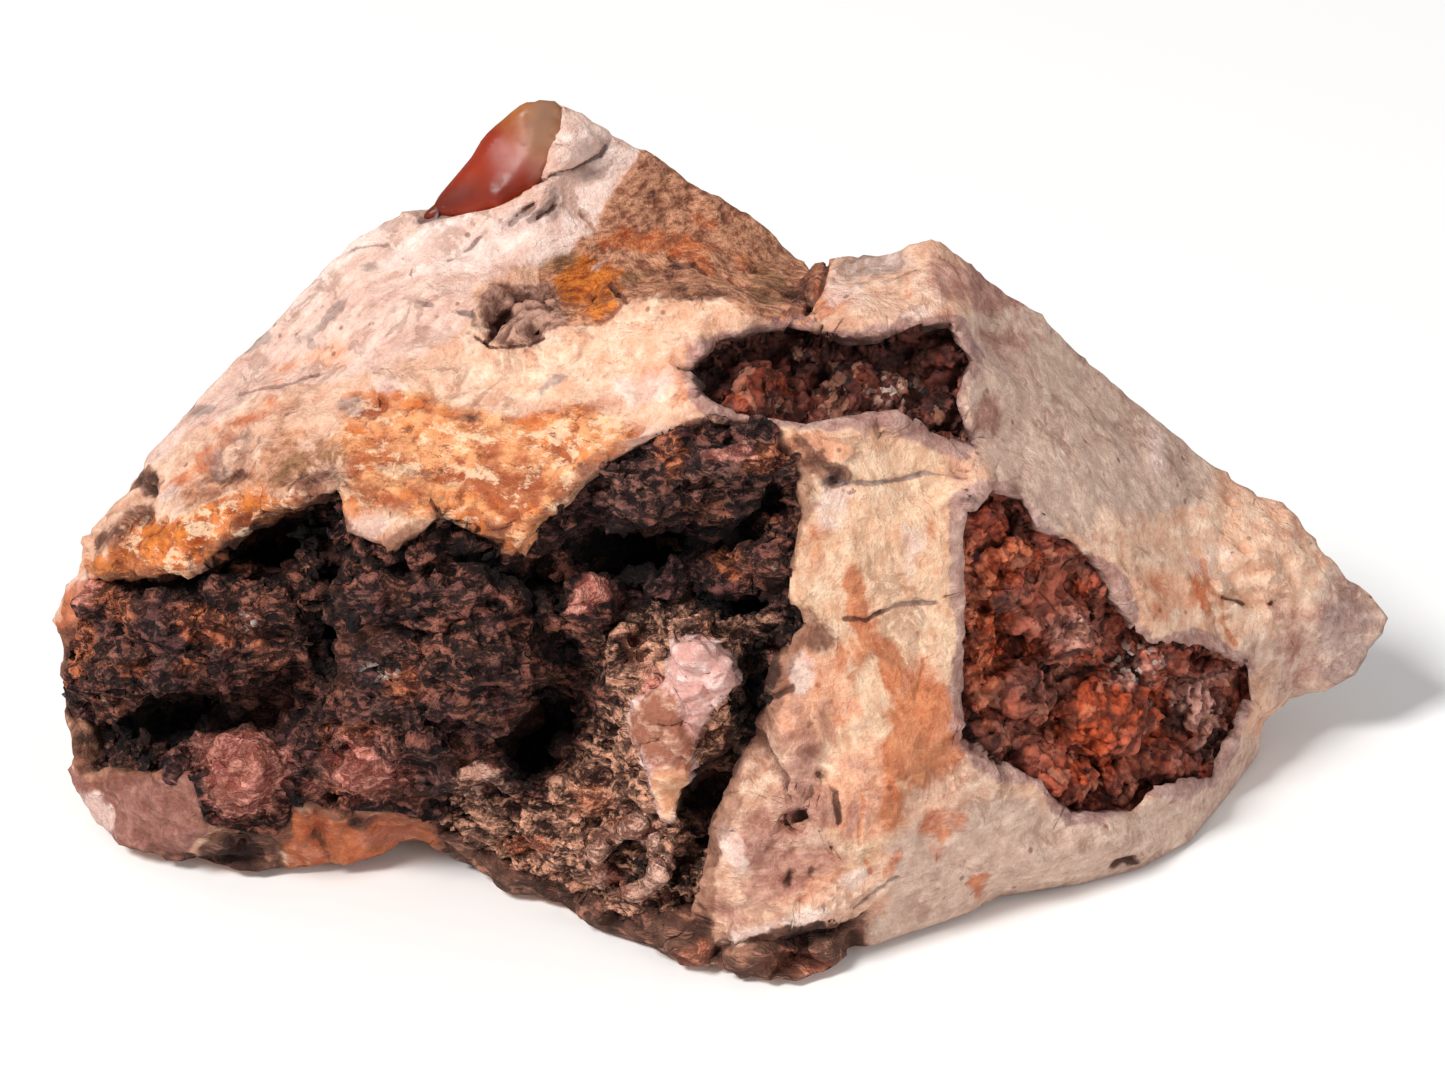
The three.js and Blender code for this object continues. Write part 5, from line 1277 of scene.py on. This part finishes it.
def hollow_masks(skin, outline):
    """How strong each colour of a hollow's crust is at each point."""
    places = looks_at(skin.points)
    loose = places + drift(skin.points)
    return {mask: spots(loose, ovals) for mask, ovals in HOLLOW_SPOTS.items()} | {
        "hole_shade": spots(loose, HOLE_SHADE_SPOTS),
        "edge": smoothstep(in_outline(loose, outline), *EDGE_FADE),
        "sparkle": spots(places, SPARKLE_SPOTS),
    }


def domes(places):
    """How high the domes stand at each place."""
    height = np.zeros(len(places))
    for across, up, radius in HOLLOW_DOMES:
        away = off_middle(places, across, up, radius)
        height = np.maximum(height, radius * np.sqrt(np.clip(1 - away**2, 0, 1)))
    return height


def rough_hollow_crust(node, seed):
    """A hollow's crust with its broad forms: knobs, chips and domes."""
    skin = skin_of(node)
    skin.refine(fine=0.7)
    skin.relax(rounds=2)
    skin.refine(fine=0.3)
    points = skin.points
    forms = 0.7 * (knobs(points, KNOB_SIZE, seed) - 0.6) + 0.4 * chips(points, 1.2, seed + 5)
    forms += 0.8 * domes(looks_at(points) + CROOKED * drift(points))
    skin.push(forms - HOLLOW_SINK)
    return skin


def fine_hollow_crust(skin, outline, seed):
    """Works a hollow's crust's fine forms in, and returns its masks."""
    skin.refine(fine=0.17, coarse=0.3)
    points = skin.points
    relief = 0.8 * (knobs(points, SMALL_KNOB_SIZE, seed + 10) - 0.45)
    relief += 0.5 * chips(points, 0.7, seed + 15)
    skin.push(0.2 * relief)
    return hollow_masks(skin, outline) | {
        "mark": knob_dice(points, SMALL_KNOB_SIZE, seed + 10),
        "block": knob_dice(points, KNOB_SIZE, seed),
        # painted shade between the knobs
        "gap": smoothstep(knobs(points, KNOB_SIZE, seed), *GAP_FADE),
        "relief": 0.5 + 0.5 * relief,
    }


def hollow_material(name, dark, light, odd_knob):
    paint = Paint(name, Roughness=0.66, Specular_IOR_Level=0.25)
    patchy = paint.noise(1.5, 5, 0.7, warp=0.5)
    fine = paint.noise(0.4, 5, 0.75)
    # The mix takes in the relief: low places get the darker colour as painted shade.
    paint.mottle_and_shade = paint.step(paint.sum((0.5, fine), (0.5, paint.attribute("relief"))), 0.32, 0.68)
    paint.colour = paint.mix(paint.mottle_and_shade, dark, light)
    paint.cover(paint.step(paint.attribute("block"), 0.55, 0.65), odd_knob, 0.6)
    paint.cover_layers(HOLLOW_LAYERS, patchy)
    paint.cover(paint.step(paint.attribute("mark"), 0.8, 0.9), HOLLOW_GRAIN, 0.35)
    # Painted shade where few rays get out.
    paint.cover(paint.step(paint.attribute("open"), 0.45, 0.05), HOLLOW_OCCLUSION_SHADE, 0.75)
    paint.tint(fine, 0.75, 1.25)
    paint.cover(sparkles(paint), HOLLOW_SPARKLE)
    return paint.finish((0.08, fine), (0.04, paint.noise(0.15, 2)))


# ---------------------------------------------------------------- the opal

OPAL_SWELL = 0.05  # how far the opal swells, to make up for its rounding off
OPAL_RED = (192, 62, 24)
OPAL_AMBER = (212, 134, 68)
OPAL_SMOKE = (176, 150, 130)
OPAL_DUSK = (104, 40, 32)
OPAL_DEPTH = (240, 152, 76)  # what its glass lets through
OPAL_DENSITY = 90.0  # how much it holds back, for each metre


def rough_opal():
    """The opal, rounded off and with low waves that run with the slab's streaks."""
    skin = skin_of("fire_opal")
    skin.refine(fine=0.9)
    skin.relax(rounds=8)
    skin.refine(fine=0.4)
    waves = grain(squeezed(skin.points, SLAB_RUN, 0.5), size=4, seed=51, octaves=2)
    skin.push(0.06 * waves + OPAL_SWELL)
    return skin


def opal_masks(skin):
    """How strong each of the opal's colours is at each point."""
    places = looks_at(skin.points)
    return {
        "amber": smoothstep(places @ OPAL_LIGHTENS, *OPAL_TURNS),
        "dusky": spots(places, OPAL_DUSKY_SPOTS),
        "smoky": spots(places, OPAL_SMOKY_SPOTS),
    }


def opal_material():
    """Clouded glass that is red at the lower end of the seam, and amber and smoky at the upper."""
    paint = Paint("fire_opal", Roughness=0.36, IOR=1.45, Transmission_Weight=0.6, Specular_IOR_Level=0.08)
    cloud = paint.noise(2.2, 4, 0.6, warp=0.5)
    share = paint.step(paint.sum(paint.attribute("amber"), (1.2, cloud), -0.6), 0.1, 0.9)
    paint.colour = paint.mix(share, OPAL_RED, OPAL_AMBER)
    paint.cover(paint.attribute("smoky"), OPAL_SMOKE, 0.7)
    paint.cover(paint.attribute("dusky"), OPAL_DUSK, 0.6)
    paint.tint(cloud, 0.85, 1.15)
    depth = paint.node("ShaderNodeVolumeAbsorption", {"Color": shade(*OPAL_DEPTH), "Density": OPAL_DENSITY})
    paint.plug(paint.output.inputs["Volume"], depth.outputs[0])
    return paint.finish((0.02, paint.noise(1.5, 2, 0.4)))


# ---------------------------------------------------------------- putting it together

FLOOR_HALF = 900.0
FLOOR_COLOUR = (0.9, 0.9, 0.9, 1)
WORLD_COLOUR = (1, 1, 1, 1)
WORLD_STRENGTH = 0.44
# Square soft lights: (name, place, aim, size, power, colour).
LIGHTS = [
    ("key", (-520, -440, 740), (0, 0, 14), 260, 10.2, (1, 0.98, 0.95)),
    ("fill", (500, -600, 300), (0, 0, 10), 400, 1.6, (1, 0.98, 0.97)),
]
SENSOR_WIDTH = 36
CLIP_START = 0.01  # in metres


def build_stone():
    """Makes the pieces. Which places are open is found with the broad forms, before the fine ones."""
    rock = rough_rhyolite()
    crust = rough_crust()
    linings = [rough_hollow_crust(node, seed) for node, _, seed, _, _ in HOLLOWS]
    opal = rough_opal()
    stones = [rock, crust, *linings]
    tree = tree_of([(skin.points, skin.faces) for skin in stones])
    for skin in stones:
        mark_open(skin, tree)
    finish_piece("rhyolite_matrix", rock, fine_rhyolite(rock), rhyolite_material())
    finish_piece("brown_crust", crust, fine_crust(crust), crust_material())
    for skin, (node, outline, seed, look, colours) in zip(linings, HOLLOWS):
        masks = fine_hollow_crust(skin, outline, seed)
        finish_piece(node, skin, masks, hollow_material(look, *colours))
    finish_piece("fire_opal", opal, opal_masks(opal), opal_material())


def set_stage():
    scene = bpy.context.scene
    half = FLOOR_HALF * MM
    mesh = bpy.data.meshes.new("floor")
    corners = [(-half, -half, 0), (half, -half, 0), (half, half, 0), (-half, half, 0)]
    mesh.from_pydata(corners, [], [(0, 1, 2, 3)])
    floor = bpy.data.objects.new("floor", mesh)
    scene.collection.objects.link(floor)
    paint = Paint("pale_floor", Roughness=0.9, Specular_IOR_Level=0.1)
    paint.set("Base Color", FLOOR_COLOUR)
    mesh.materials.append(paint.material)

    world = bpy.data.worlds.new("studio")
    world.use_nodes = True
    background = world.node_tree.nodes["Background"]
    background.inputs["Color"].default_value = WORLD_COLOUR
    background.inputs["Strength"].default_value = WORLD_STRENGTH
    scene.world = world

    for name, place, aim, size, power, colour in LIGHTS:
        lamp = bpy.data.lights.new(name, "AREA")
        lamp.size = size * MM
        lamp.energy = power
        lamp.color = colour
        light = bpy.data.objects.new(name, lamp)
        light.location = Vector(place) * MM
        light.rotation_euler = (Vector(aim) - Vector(place)).to_track_quat("-Z", "Y").to_euler()
        scene.collection.objects.link(light)


def set_camera():
    scene = bpy.context.scene
    lens = bpy.data.cameras.new("camera")
    lens.sensor_width = SENSOR_WIDTH
    lens.lens = SENSOR_WIDTH * EYE_DISTANCE / FRAME_WIDTH
    lens.clip_start = CLIP_START
    camera = bpy.data.objects.new("camera", lens)
    place = EYE + FRAME_CENTRE[0] * RIGHT + FRAME_CENTRE[1] * SIGHT_UP
    axes = Matrix([RIGHT, SIGHT_UP, -SIGHT]).transposed()
    camera.matrix_world = Matrix.Translation(Vector(place) * MM) @ axes.to_4x4()
    scene.collection.objects.link(camera)
    scene.camera = camera
    scene.view_settings.view_transform = "Standard"


set_camera()
set_stage()
build_stone()
